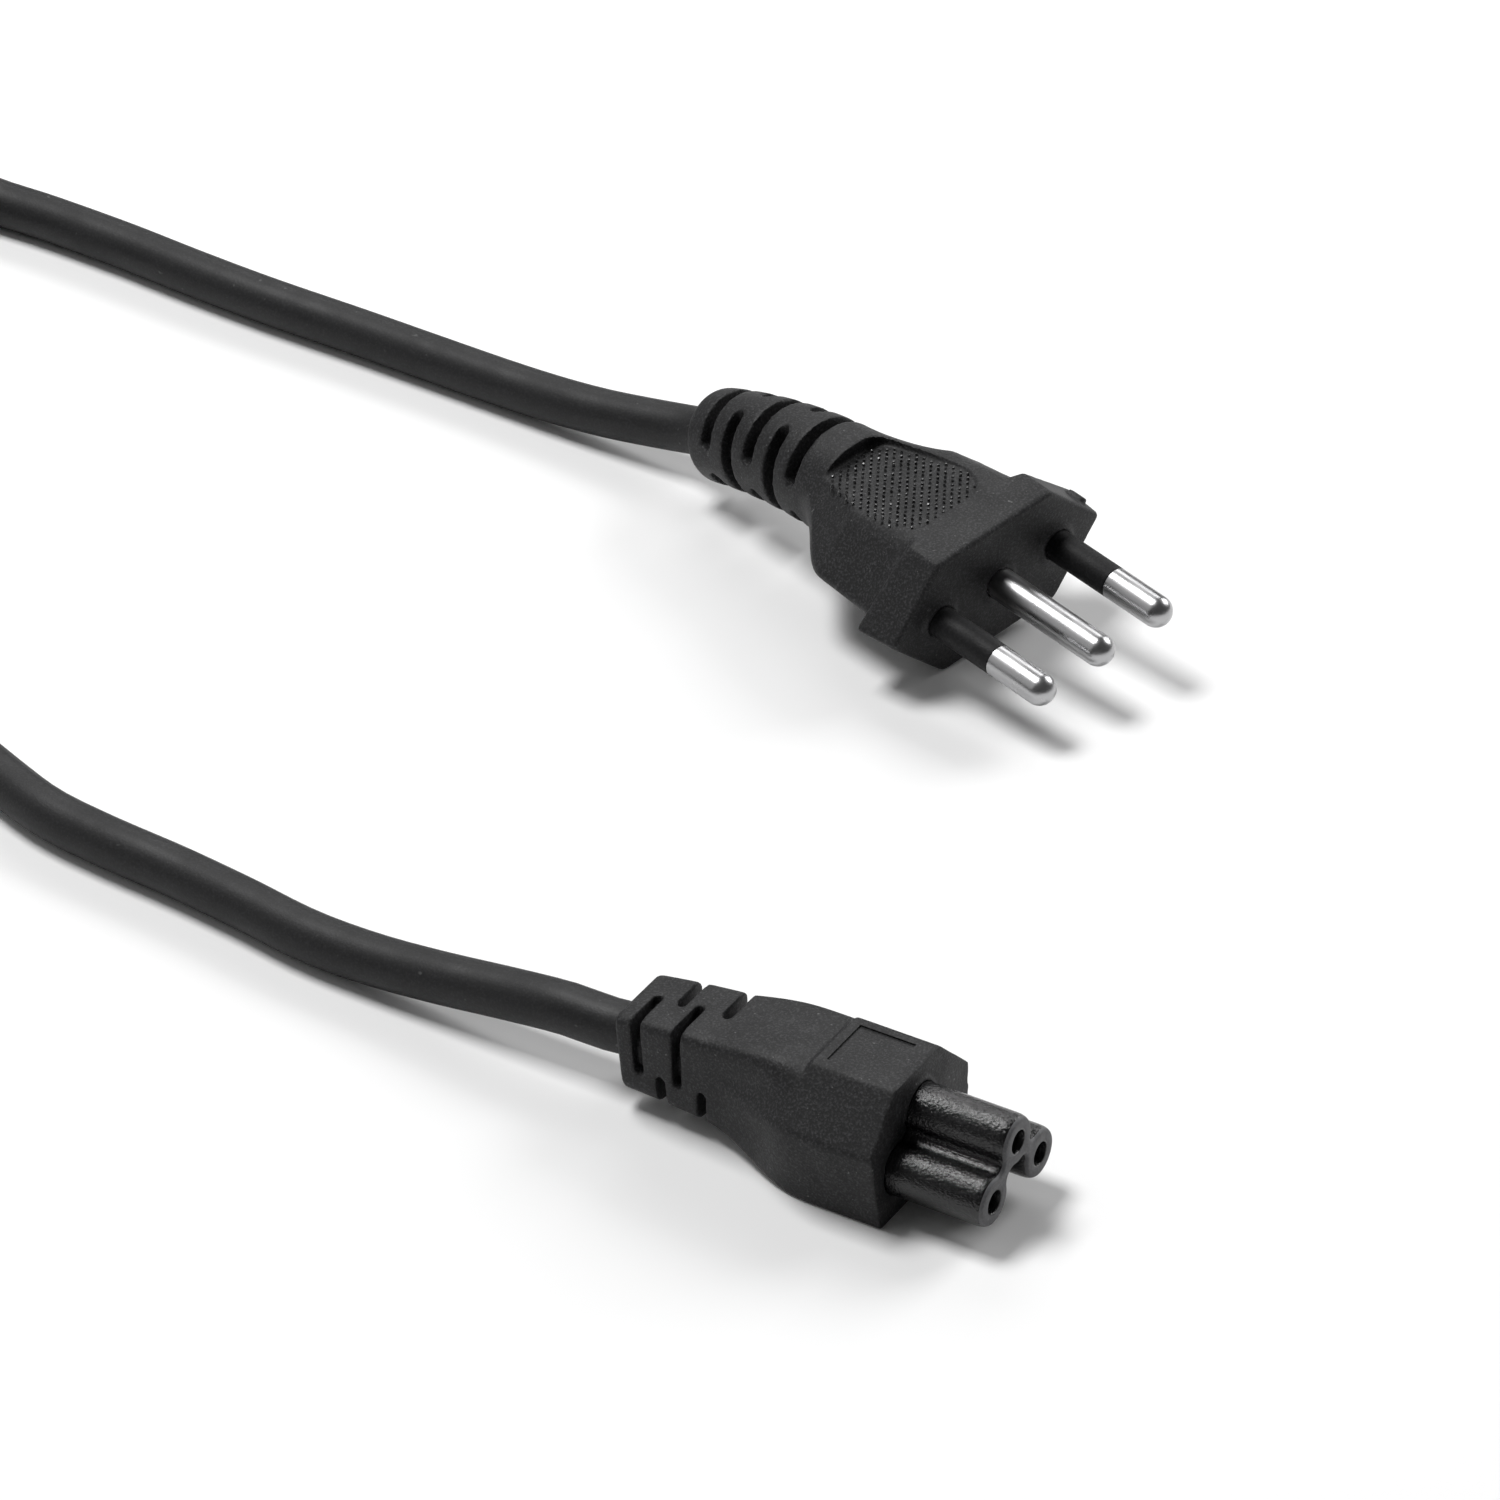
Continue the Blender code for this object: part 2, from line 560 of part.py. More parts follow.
def grip_cutter(side):
    """A shallow wedge for the finger grip: nothing deep at the front, GRIP_DEPTH at the back."""
    front, back = -GRIP_FROM_FACE, -GRIP_FROM_FACE - GRIP_LENGTH
    corners = [(front, GRIP_FRONT_HALF_WIDTH), (front - GRIP_WIDEST, GRIP_HALF_WIDTH),
               (back, GRIP_BACK_HALF_WIDTH)]
    corners += [(x, -y) for x, y in reversed(corners)]
    slope = (BODY_HALF_HEIGHT - NECK_RADIUS + GRIP_DEPTH) / GRIP_LENGTH
    floor_ring, top_ring = [], []
    for x, y in rounded_outline(corners, GRIP_CORNER):
        floor_ring.append((x, y - GRIP_SHIFT, side * (BODY_HALF_HEIGHT - slope * (front - x))))
        top_ring.append((x, y - GRIP_SHIFT, side * (BODY_HALF_HEIGHT + CUT_OVERRUN)))
    bm = bmesh.new()
    add_loft(bm, [floor_ring, top_ring])
    return finish_object("grip_top" if side > 0 else "grip_bottom", bm, None)


def pin_bore_cutter():
    bm = bmesh.new()
    profile = [(-PIN_SEAT - GAP, PIN_RADIUS + GAP), (CUT_OVERRUN, PIN_RADIUS + GAP)]
    for y in (-PIN_SPACING, 0.0, PIN_SPACING):
        turned(bm, profile, (y, 0.0), 24)
    return finish_object("pin_bores", bm, None)


def pin_profile(sleeved):
    """Along and radius, from the seat to the round tip."""
    turns = [math.radians(angle) for angle in (0, 18, 36, 54, 70, 84)]
    shaft_end = PIN_LENGTH - PIN_RADIUS
    tip = [(shaft_end + PIN_RADIUS * math.sin(a), PIN_RADIUS * math.cos(a)) for a in turns]
    if not sleeved:
        return [(-PIN_SEAT, PIN_RADIUS)] + tip
    foot = -SLEEVE_SEAT - GAP
    return [(-PIN_SEAT, PIN_RADIUS), (foot, PIN_RADIUS), (foot, PIN_NECK_RADIUS),
            (SLEEVE_LENGTH, PIN_NECK_RADIUS), (SLEEVE_LENGTH, PIN_RADIUS)] + tip


def make_pins(metal, insulation, place):
    """Three pins in line, the outer two sleeved next to the plug."""
    bore = PIN_NECK_RADIUS + GAP
    sleeve = [(-SLEEVE_SEAT, PIN_RADIUS), (SLEEVE_LENGTH - GAP, PIN_RADIUS),
              (SLEEVE_LENGTH - GAP, bore), (-SLEEVE_SEAT, bore)]
    for pole, y in (("line", -PIN_SPACING), ("earth", 0.0), ("neutral", PIN_SPACING)):
        sleeved = pole != "earth"
        bm = bmesh.new()
        turned(bm, pin_profile(sleeved), (y, 0.0), 20)
        finish_object("pin_" + pole, bm, metal).parent = place
        if sleeved:
            tube("pin_sleeve_" + pole, sleeve, (y, 0.0), 20, insulation).parent = place


def plug_turn():
    """How the plug lies: turned, pins down and leaning on its near edge."""
    return (Matrix.Rotation(math.radians(PLUG_YAW), 4, "Z")
            @ Matrix.Rotation(math.radians(-PLUG_PITCH), 4, "Y")
            @ Matrix.Rotation(math.radians(PLUG_ROLL), 4, "X"))


def plug_matrix():
    """The plug's place, with its lowest point just over the floor."""
    turn = plug_turn()
    lowest = min((turn @ Vector(point)).z for ring in plug_rings() for point in ring)
    return Matrix.Translation((*PLUG_PLACE, PLUG_FLOOR_GAP - lowest)) @ turn


def make_plug(overmould, metal, insulation):
    place = bpy.data.objects.new("plug_place", None)
    bpy.context.collection.objects.link(place)
    place.matrix_world = plug_matrix()
    bm = bmesh.new()
    add_loft(bm, plug_rings())
    body = finish_object("plug_body", bm, overmould)
    body.parent = place
    for cutter in (plug_slot_cutter(), grip_cutter(1), grip_cutter(-1), pin_bore_cutter()):
        cutter.parent = place
        cut(body, cutter)
    make_pins(metal, insulation, place)


def smooth_route(points, step):
    """Evenly spaced points on a smooth curve through the given ones."""
    knots = [Vector(p) for p in points]
    knots = [knots[0] * 2 - knots[1]] + knots + [knots[-1] * 2 - knots[-2]]
    dense = []
    for a, b, c, d in zip(knots, knots[1:], knots[2:], knots[3:]):
        for k in range(20):
            t = k / 20
            dense.append(0.5 * ((2 * b) + (c - a) * t + (2 * a - 5 * b + 4 * c - d) * t ** 2
                                + (3 * b - a - 3 * c + d) * t ** 3))
    dense.append(knots[-2])
    lengths = np.concatenate([[0.0], np.cumsum([(q - p).length for p, q in zip(dense, dense[1:])])])
    count = max(2, round(lengths[-1] / step) + 1)
    places = np.linspace(0.0, lengths[-1], count)
    return [Vector([np.interp(s, lengths, [p[axis] for p in dense]) for axis in range(3)]) for s in places]


def make_tube(name, points, finish):
    curve = bpy.data.curves.new(name, "CURVE")
    curve.dimensions = "3D"
    curve.bevel_depth = CORD_DIAMETER / 2
    curve.bevel_resolution = CORD_SIDES
    curve.use_fill_caps = True
    spline = curve.splines.new("POLY")
    spline.points.add(len(points) - 1)
    for spot, point in zip(spline.points, points):
        spot.co = (*point, 1.0)
    tube = bpy.data.objects.new(name, curve)
    bpy.context.collection.objects.link(tube)
    curve.materials.append(finish)


def coil_meeting(side, height):
    """Where a tube comes up to the coil, side -1 in front and 1 behind it."""
    outside = COIL_RADIUS + COIL_WIDTH / 2
    turn_radius = outside - CORD_DIAMETER / 2
    along = math.sqrt((outside + GAP) ** 2 - (turn_radius - CORD_DIAMETER / 2) ** 2)
    return (COIL_CENTRE[0] + along, COIL_CENTRE[1] + side * turn_radius, height)


def make_cords(finish):
    """The two stretches that lie free, each straight where it leaves its strain relief."""
    step = POINT_STEP * CORD_DIAMETER
    near, far = MEETING_HEIGHTS
    for name, end, route, meeting in (
            ("cord_connector_side", relief_frame(RELIEF_LENGTH), CONNECTOR_ROUTE, coil_meeting(-1, near)),
            ("cord_plug_side", plug_matrix() @ plug_frame(PLUG_LENGTH), PLUG_ROUTE, coil_meeting(1, far))):
        start, out = (end @ Vector((-along, 0.0, 0.0)) for along in (GAP, STRAIGHT_OUT))
        points = [out] + [Vector(point) * MM for point in route] + [meeting]
        make_tube(name, [start] + smooth_route(points, step), finish)


def make_coil(finish):
    """The coil's outer shape, one ring turned about its middle."""
    inner = COIL_RADIUS - COIL_WIDTH / 2
    outer = COIL_RADIUS + COIL_WIDTH / 2
    top = COIL_BOTTOM + COIL_HEIGHT
    section = rounded_outline([(inner, COIL_BOTTOM), (outer, COIL_BOTTOM), (outer, top), (inner, top)],
                              COIL_EDGE_RADIUS, 3)
    bm = bmesh.new()
    ring = [bm.verts.new((COIL_CENTRE[0] + r, COIL_CENTRE[1], z)) for r, z in section]
    edges = [bm.edges.new((a, b)) for a, b in zip(ring, ring[1:] + ring[:1])]
    bmesh.ops.spin(bm, geom=ring + edges, cent=(*COIL_CENTRE, 0.0), axis=(0, 0, 1),
                   angle=2 * math.pi, steps=56, use_merge=True)
    finish_object("cord_coil", bm, finish)


def make_tie(finish):
    """A flat strap closed round the coil's turns."""
    half = COIL_WIDTH / 2 + TIE_SIDE_GAP
    low, high = COIL_BOTTOM - GAP, COIL_BOTTOM + COIL_HEIGHT + GAP
    t = TIE_THICKNESS
    inside = rounded_outline([(-half, low), (half, low), (half, high), (-half, high)], TIE_RADIUS)
    outside = rounded_outline([(-half - t, low - t), (half + t, low - t), (half + t, high + t),
                               (-half - t, high + t)], TIE_RADIUS)
    turn = Matrix.Translation((*COIL_CENTRE, 0.0)) @ Matrix.Rotation(math.radians(TIE_ANGLE), 4, "Z")
    bm = bmesh.new()
    loops = []
    for outline, along in ((outside, -TIE_WIDTH / 2), (outside, TIE_WIDTH / 2),
                           (inside, TIE_WIDTH / 2), (inside, -TIE_WIDTH / 2)):
        loops.append([bm.verts.new(turn @ Vector((COIL_RADIUS + r, along, z))) for r, z in outline])
    count = len(loops[0])
    for near, far in zip(loops, loops[1:] + loops[:1]):
        for i in range(count):
            j = (i + 1) % count
            bm.faces.new((near[i], near[j], far[j], far[i]))
    finish_object("coil_tie", bm, finish)


def main():
    clear_scene()
    overmould = material("black_pvc_overmould", (0.012, 0.012, 0.013), 0.55)
    hard = material("black_hard_insert", (0.008, 0.008, 0.009), 0.3)
    sleeve = material("black_pin_sleeve", (0.01, 0.01, 0.011), 0.45)
    nickel = material("nickel_plated_brass", (0.66, 0.64, 0.6), 0.18, 1.0)
    contact = material("contact_metal", (0.6, 0.5, 0.3), 0.3, 1.0)
    sheath = material("black_pvc_sheath", (0.013, 0.013, 0.014), 0.5)
    strap = material("black_tie", (0.01, 0.01, 0.01), 0.6)
    make_connector_body(overmould)
    make_connector_nose(hard)
    make_contacts(contact)
    make_plug(overmould, nickel, sleeve)
    make_cords(sheath)
    make_coil(sheath)
    make_tie(strap)


main()
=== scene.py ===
import math
import random

import bmesh
import bpy
from mathutils import Matrix, Vector


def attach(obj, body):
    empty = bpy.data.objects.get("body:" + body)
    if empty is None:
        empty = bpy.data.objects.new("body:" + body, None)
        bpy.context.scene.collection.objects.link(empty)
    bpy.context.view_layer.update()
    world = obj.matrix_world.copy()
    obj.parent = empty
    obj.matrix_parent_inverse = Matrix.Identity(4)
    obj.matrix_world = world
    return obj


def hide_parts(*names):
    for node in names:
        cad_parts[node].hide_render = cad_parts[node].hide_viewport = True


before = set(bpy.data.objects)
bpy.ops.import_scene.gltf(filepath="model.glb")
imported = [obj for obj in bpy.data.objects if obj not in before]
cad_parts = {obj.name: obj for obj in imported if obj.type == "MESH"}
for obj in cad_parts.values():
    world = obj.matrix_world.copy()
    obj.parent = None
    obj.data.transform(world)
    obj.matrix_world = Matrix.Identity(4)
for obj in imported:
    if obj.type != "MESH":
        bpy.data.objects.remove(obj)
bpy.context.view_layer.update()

mm = 0.001  # the dictionaries below hold millimetres, and meshes are scaled once, when they are finished
past = 1.0  # how far a cutter reaches past the surface that it cuts


# Camera: the photograph's own view, fitted to the pins and the contact holes
camera = {"place": (349.82, -599.17, 529.58), "lookAt": (-46.68, 61.5, 0.0), "lens": 192.0, "sensor": 36.0}


def addCamera():
    data = bpy.data.cameras.new("camera")
    data.lens = camera["lens"]
    data.sensor_width = camera["sensor"]
    data.clip_start = 0.01
    eye = bpy.data.objects.new("camera", data)
    bpy.context.collection.objects.link(eye)
    place, target = Vector(camera["place"]) * mm, Vector(camera["lookAt"]) * mm
    eye.location = place
    eye.rotation_euler = (target - place).to_track_quat("-Z", "Y").to_euler()
    bpy.context.scene.camera = eye


# Small tools for modelling

def mix(a, b, t):
    return tuple(p + (q - p) * t for p, q in zip(a, b))


def ease(t):
    t = min(1.0, max(0.0, t))
    return t * t * (3 - 2 * t)


def steps(first, last, count):
    return [first + (last - first) * i / (count - 1) for i in range(count)]


def easedOutline(corners, radius, points=8):
    # a closed outline with each corner cut back and rounded, by one radius or by one for each corner
    radii = radius if isinstance(radius, list) else [radius] * len(corners)
    outline = []
    for i, corner in enumerate(corners):
        here = Vector(corner)
        before, after = Vector(corners[i - 1]) - here, Vector(corners[(i + 1) % len(corners)]) - here
        back = min(radii[i], 0.45 * before.length, 0.45 * after.length)
        start, end = here + before.normalized() * back, here + after.normalized() * back
        for t in steps(0.0, 1.0, points):
            outline.append(tuple(start * (1 - t) ** 2 + here * 2 * t * (1 - t) + end * t ** 2))
    return outline


def arc(centre, radius, first, last, count):
    angles = [math.radians(a) for a in steps(first, last, count + 1)]
    return [(centre[0] + radius * math.cos(a), centre[1] + radius * math.sin(a)) for a in angles]


def ring(bm, points):
    made = bmesh.ops.create_circle(bm, segments=len(points), radius=1.0)["verts"]
    for vert, point in zip(made, points):
        vert.co = point
    return list({edge for vert in made for edge in vert.link_edges})


def loft(bm, sections):
    # skins a row of sections and closes both ends
    rings = [ring(bm, section) for section in sections]
    for near, far in zip(rings, rings[1:]):
        bmesh.ops.bridge_loops(bm, edges=near + far)
    for end in (rings[0], rings[-1]):
        bmesh.ops.contextual_create(bm, geom=end)


def turnProfile(bm, profile, centre=(0.0, 0.0), count=64):
    # turns (x, radius) points round a line along X
    verts = [bm.verts.new((x, centre[0] + radius, centre[1])) for x, radius in profile]
    edges = [bm.edges.new(pair) for pair in zip(verts, verts[1:])]
    bmesh.ops.spin(bm, geom=verts + edges, cent=(0.0, *centre), axis=(1.0, 0.0, 0.0),
                   angle=2 * math.pi, steps=count, use_merge=True)
    bmesh.ops.remove_doubles(bm, verts=bm.verts, dist=0.001)


def rawObject(name, bm):
    bmesh.ops.recalc_face_normals(bm, faces=bm.faces)
    mesh = bpy.data.meshes.new(name)
    bm.to_mesh(mesh)
    bm.free()
    thing = bpy.data.objects.new(name, mesh)
    bpy.context.collection.objects.link(thing)
    return thing


def applied(thing):
    # bakes the modifiers into the mesh
    graph = bpy.context.evaluated_depsgraph_get()
    mesh = bpy.data.meshes.new_from_object(thing.evaluated_get(graph))
    thing.modifiers.clear()
    thing.data = mesh


def cutAway(thing, cutter, crossing=False):
    # crossing says that the cutter's own parts run into each other
    modifier = thing.modifiers.new("cut", "BOOLEAN")
    modifier.operation = "DIFFERENCE"
    modifier.solver = "EXACT"
    modifier.use_self = crossing
    modifier.object = cutter
    applied(thing)
    bpy.data.objects.remove(cutter, do_unlink=True)


def join(thing, other):
    bm = bmesh.new()
    bm.from_mesh(thing.data)
    bm.from_mesh(other.data)
    bm.to_mesh(thing.data)
    bm.free()
    bpy.data.objects.remove(other, do_unlink=True)


def mouldedEdges(thing, voxel, rounds):
    # one skin with softly rounded edges, as soft plastic leaves a mould
    remesh = thing.modifiers.new("skin", "REMESH")
    remesh.mode = "VOXEL"
    remesh.voxel_size = voxel
    soften = thing.modifiers.new("soften", "SMOOTH")
    soften.factor = 0.5
    soften.iterations = rounds
    applied(thing)


def finished(thing, name, place, material, replaces=(), smoothAngle=180):
    # scales to metres, puts the place into the mesh and says what the piece stands for
    thing.name = thing.data.name = name
    thing.data.transform(Matrix.Scale(mm, 4) @ place)
    thing.data.shade_smooth()
    if smoothAngle < 180:
        thing.data.set_sharp_from_angle(angle=math.radians(smoothAngle))
    thing.data.materials.clear()
    thing.data.materials.append(material)
    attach(thing, "root")
    if replaces:
        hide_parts(*replaces)
    print("made", name, len(thing.data.polygons), "faces")
    return thing


# Materials

def linear(hexColour):
    # sRGB hex to the linear colour that the shader wants
    shares = [int(hexColour[i:i + 2], 16) / 255 for i in (1, 3, 5)]
    return (*[c / 12.92 if c <= 0.04045 else ((c + 0.055) / 1.055) ** 2.4 for c in shares], 1.0)


def addNode(tree, kind, settings, links=()):
    # settings are the node's own properties or its inputs' values, links are (input, output) pairs
    node = tree.nodes.new(kind)
    for name, value in settings.items():
        if name in node.inputs.keys():
            node.inputs[name].default_value = value
        else:
            setattr(node, name, value)
    for name, source in links:
        tree.links.new(source, node.inputs[name])
    return node


def newMaterial(name, shaderSettings):
    made = bpy.data.materials.new(name)
    made.use_nodes = True
    tree = made.node_tree
    shader = tree.nodes["Principled BSDF"]
    for socket, value in shaderSettings.items():
        shader.inputs[socket].default_value = value
    place = addNode(tree, "ShaderNodeTexCoord", {}).outputs["Object"]
    return made, tree, shader, place


def perMetre(size):
    # a noise scale whose grains are about this many millimetres wide
    return 1.0 / (size * mm)


def blackPlastic(name, look):
    # pale grains, specks of dust and slow mottling on a black plastic, sizes in millimetres
    # grains finer than about 0.28 mm would not show, so none is drawn finer
    specular = {"IOR": look["ior"], "Specular IOR Level": look["specular"]}
    made, tree, shader, place = newMaterial(name, specular)
    onPlace = [("Vector", place)]
    grain = addNode(tree, "ShaderNodeTexNoise",
                    {"Scale": perMetre(look["grainSize"]), "Detail": 3.0, "Roughness": 0.6}, onPlace)
    cloud = addNode(tree, "ShaderNodeTexNoise",
                    {"Scale": perMetre(look["cloudSize"]), "Detail": 4.0, "Roughness": 0.55}, onPlace)
    speck = addNode(tree, "ShaderNodeTexNoise",
                    {"Scale": perMetre(look["speckSize"]), "Detail": 1.0}, onPlace)
    tone = addNode(tree, "ShaderNodeMixRGB",
                   {"Color1": linear(look["dark"]), "Color2": linear(look["pale"])},
                   [("Fac", cloud.outputs["Fac"])])
    grainShare = addNode(tree, "ShaderNodeMapRange",
                         {"From Min": 0.48, "From Max": 0.72, "To Max": look["grainShare"]},
                         [("Value", grain.outputs["Fac"])])
    grainy = addNode(tree, "ShaderNodeMixRGB", {"Color2": linear(look["grainColour"])},
                     [("Color1", tone.outputs["Color"]), ("Fac", grainShare.outputs["Result"])])
    speckShare = addNode(tree, "ShaderNodeMapRange",
                         {"From Min": look["speckFrom"], "From Max": look["speckFrom"] + 0.06,
                          "To Max": look["speckShare"]}, [("Value", speck.outputs["Fac"])])
    dusty = addNode(tree, "ShaderNodeMixRGB", {"Color2": linear(look["speckColour"])},
                    [("Color1", grainy.outputs["Color"]), ("Fac", speckShare.outputs["Result"])])
    tree.links.new(dusty.outputs["Color"], shader.inputs["Base Color"])
    smooth, rough = look["roughness"]
    gloss = addNode(tree, "ShaderNodeMapRange",
                    {"From Min": 0.3, "From Max": 0.7, "To Min": smooth, "To Max": rough},
                    [("Value", cloud.outputs["Fac"])])
    tree.links.new(gloss.outputs["Result"], shader.inputs["Roughness"])
    fine = addNode(tree, "ShaderNodeBump",
                   {"Strength": look["grainStrength"], "Distance": look["grainHeight"] * mm},
                   [("Height", grain.outputs["Fac"])])
    wavy = addNode(tree, "ShaderNodeBump", {"Strength": 0.5, "Distance": look["cloudHeight"] * mm},
                   [("Height", cloud.outputs["Fac"]), ("Normal", fine.outputs["Normal"])])
    tree.links.new(wavy.outputs["Normal"], shader.inputs["Normal"])
    return made


def overmouldMaterial():
    # black PVC, injection moulded in a spark-eroded tool: matt, with a fine grain that catches light
    # the real grain is about half as wide
    look = {"ior": 1.53, "specular": 0.3, "dark": "#0f0f10", "pale": "#161617", "grainColour": "#454547",
            "grainSize": 0.28, "grainShare": 0.7, "grainStrength": 0.9, "grainHeight": 0.06,
            "cloudSize": 5.0, "cloudHeight": 0.12, "roughness": (0.5, 0.66),
            "speckSize": 0.5, "speckFrom": 0.74, "speckShare": 0.35, "speckColour": "#8a8a8a"}
    return blackPlastic("moulded_black_pvc", look)


def gripMaterial():
    # the same PVC, rubbed smooth by fingers: each bump has a small glint; its tone is a touch paler than the
    # recess floor, painted light that sets the bumps off from the shade between them
    look = {"ior": 1.53, "specular": 0.7, "dark": "#111112", "pale": "#1a1a1b", "grainColour": "#454547",
            "grainSize": 0.28, "grainShare": 0.6, "grainStrength": 0.7, "grainHeight": 0.06,
            "cloudSize": 2.0, "cloudHeight": 0.1, "roughness": (0.24, 0.4),
            "speckSize": 0.5, "speckFrom": 0.7, "speckShare": 0.4, "speckColour": "#8a8a8a"}
    return blackPlastic("rubbed_black_pvc_painted_paler", look)


def noseMaterial():
    # glass-filled nylon, injection moulded in a polished tool: half gloss, and its grains glint
    look = {"ior": 1.53, "specular": 0.5, "dark": "#080809", "pale": "#0e0e0f", "grainColour": "#1c1c1d",
            "grainSize": 0.36, "grainShare": 0.4, "grainStrength": 1.0, "grainHeight": 0.12,
            "cloudSize": 6.0, "cloudHeight": 0.03, "roughness": (0.13, 0.19),
            "speckSize": 0.6, "speckFrom": 0.76, "speckShare": 0.2, "speckColour": "#6a6a6a"}
    return blackPlastic("moulded_black_nylon", look)


def noseFrontPaintedLitMaterial():
    # the same nylon where the tool was left rough: matt and grainy; its pale grey is painted light, standing
    # in for the light the front faces catch
    look = {"ior": 1.53, "specular": 0.4, "dark": "#4c4c4d", "pale": "#58585a", "grainColour": "#6a6a6c",
            "grainSize": 0.28, "grainShare": 0.7, "grainStrength": 0.8, "grainHeight": 0.06,
            "cloudSize": 3.0, "cloudHeight": 0.05, "roughness": (0.6, 0.72),
            "speckSize": 0.6, "speckFrom": 0.76, "speckShare": 0.2, "speckColour": "#808080"}
    return blackPlastic("rough_black_nylon_painted_lit", look)


def sheathMaterial():
    # black PVC, extruded: satin, with faint drawn waves and a few scuffs
    look = {"ior": 1.53, "specular": 0.3, "dark": "#111112", "pale": "#19191a", "grainColour": "#323234",
            "grainSize": 0.28, "grainShare": 0.5, "grainStrength": 0.6, "grainHeight": 0.05,
            "cloudSize": 7.0, "cloudHeight": 0.2, "roughness": (0.46, 0.6),
            "speckSize": 1.1, "speckFrom": 0.75, "speckShare": 0.3, "speckColour": "#757575"}
    return blackPlastic("extruded_black_pvc", look)


def sleeveMaterial():
    # black nylon, moulded on the pins: even and half matt
    look = {"ior": 1.53, "specular": 0.2, "dark": "#0e0e0f", "pale": "#161617", "grainColour": "#2a2a2c",
            "grainSize": 0.28, "grainShare": 0.6, "grainStrength": 0.8, "grainHeight": 0.06,
            "cloudSize": 3.0, "cloudHeight": 0.06, "roughness": (0.46, 0.6),
            "speckSize": 0.6, "speckFrom": 0.78, "speckShare": 0.2, "speckColour": "#707070"}
    return blackPlastic("moulded_black_sleeve", look)


def strapMaterial():
    # black woven nylon tape with loops: dull, with a cross-hatched weave
    look = {"ior": 1.53, "specular": 0.3, "dark": "#121213", "pale": "#1c1c1d", "grainColour": "#303032",
            "grainSize": 0.35, "grainShare": 0.7, "grainStrength": 1.0, "grainHeight": 0.12,
            "cloudSize": 4.0, "cloudHeight": 0.1, "roughness": (0.78, 0.9),
            "speckSize": 0.9, "speckFrom": 0.76, "speckShare": 0.2, "speckColour": "#5a5a5a"}
    return blackPlastic("woven_black_tape", look)


def metalMaterial(name, colour, roughness, waviness):
    # a plated metal, turned and polished: mirror-like, with faint turning marks
    made, tree, shader, place = newMaterial(name, {"Metallic": 1.0, "Base Color": linear(colour)})
    onPlace = [("Vector", place)]
    marks = addNode(tree, "ShaderNodeTexNoise", {"Scale": perMetre(0.5), "Detail": 3.0}, onPlace)
    smear = addNode(tree, "ShaderNodeTexNoise", {"Scale": perMetre(2.5), "Detail": 2.0}, onPlace)
    smooth, rough = roughness
    gloss = addNode(tree, "ShaderNodeMapRange",
                    {"From Min": 0.35, "From Max": 0.65, "To Min": smooth, "To Max": rough},
                    [("Value", smear.outputs["Fac"])])
    tree.links.new(gloss.outputs["Result"], shader.inputs["Roughness"])
    bump = addNode(tree, "ShaderNodeBump", {"Strength": 0.3, "Distance": waviness * mm},
                   [("Height", marks.outputs["Fac"])])
    tree.links.new(bump.outputs["Normal"], shader.inputs["Normal"])
    return made


# Connector overmould: flat-topped, with a raised pad in front and a slotted strain relief behind

connector = {
    "back": -23.75, "noseTip": 23.75, "noseLength": 12.55, "padLength": 10.35, "padStep": 0.5,
    "height": 15.3, "topHalf": 4.75, "backTopHalf": 5.25, "backTopBulge": 0.7, "side": (10.6, 9.5),
    "base": (9.5, 0.0), "edge": 0.5, "backEdge": 3.0, "lean": 1.1, "flare": 15.0,
    "reliefLength": 11.5, "reliefBack": (5.0, 5.0), "reliefFront": (5.6, 5.8), "reliefHeight": 7.5,
    "reliefBend": 6.0, "reliefCorner": 2.3, "reliefRound": 0.5,
    "slotsAt": (2.7, 5.6, 7.84, 11.1), "slotWidth": 1.2, "slotCore": 4.0, "slotEnd": 7.0,
    "longSlots": ((84, 201), (264, 381)), "shortSlots": ((13, 96), (193, 276)),
    "hollow": 0.8, "hollowAt": 0.62, "hollowEase": 2.5,
    "panel": (7.0, 7.2), "panelDepth": 0.2, "panelFromShoulder": 2.2,
    "voxel": 0.2, "softening": 3,
}
shoulder = connector["noseTip"] - connector["noseLength"]
padBack = shoulder - connector["padLength"]
reliefFront = connector["back"] + connector["reliefLength"]


def reliefPlace(along):
    # a place on the connector's strain relief, this far behind its front end
    turn = math.radians(connector["reliefBend"] * along / connector["reliefLength"])
    place = Matrix.Rotation(-turn / 2, 4, "Y") @ Vector((-along, 0.0, 0.0))
    place += Vector((reliefFront, 0.0, connector["reliefHeight"]))
    return Matrix.Translation(place) @ Matrix.Rotation(-turn, 4, "Y")


def reliefSection(along, inset=0.0):
    share = along / connector["reliefLength"]
    wide, high = (size - inset for size in mix(connector["reliefFront"], connector["reliefBack"], share))
    between = high * (1 - connector["hollowAt"])
    corners = [(wide, high), (-wide, high), (-wide, between), (-wide, 0.0), (-wide, -high), (wide, -high),
               (wide, 0.0), (wide, between)]
    place = reliefPlace(along)
    return [place @ Vector((0.0, y, z)) for y, z in easedOutline(corners, connector["reliefCorner"])]


def connectorSection(x, top, side, base, topRadius, lowRadius, hollow=0.0):
    # eight corners: the slope between top and side is flat or hollow
    down = (Vector(side) - Vector(top)).normalized()
    middle = Vector(mix(top, side, connector["hollowAt"])) + Vector((down.y, -down.x)) * hollow
    corners = [top] + [(-y, z) for y, z in (top, middle, side, base)] + [base, side, middle]
    radii = [topRadius] * 2 + [connector["hollowEase"]] + [lowRadius] * 4 + [connector["hollowEase"]]
    return [(x, y, z) for y, z in easedOutline(corners, radii)]


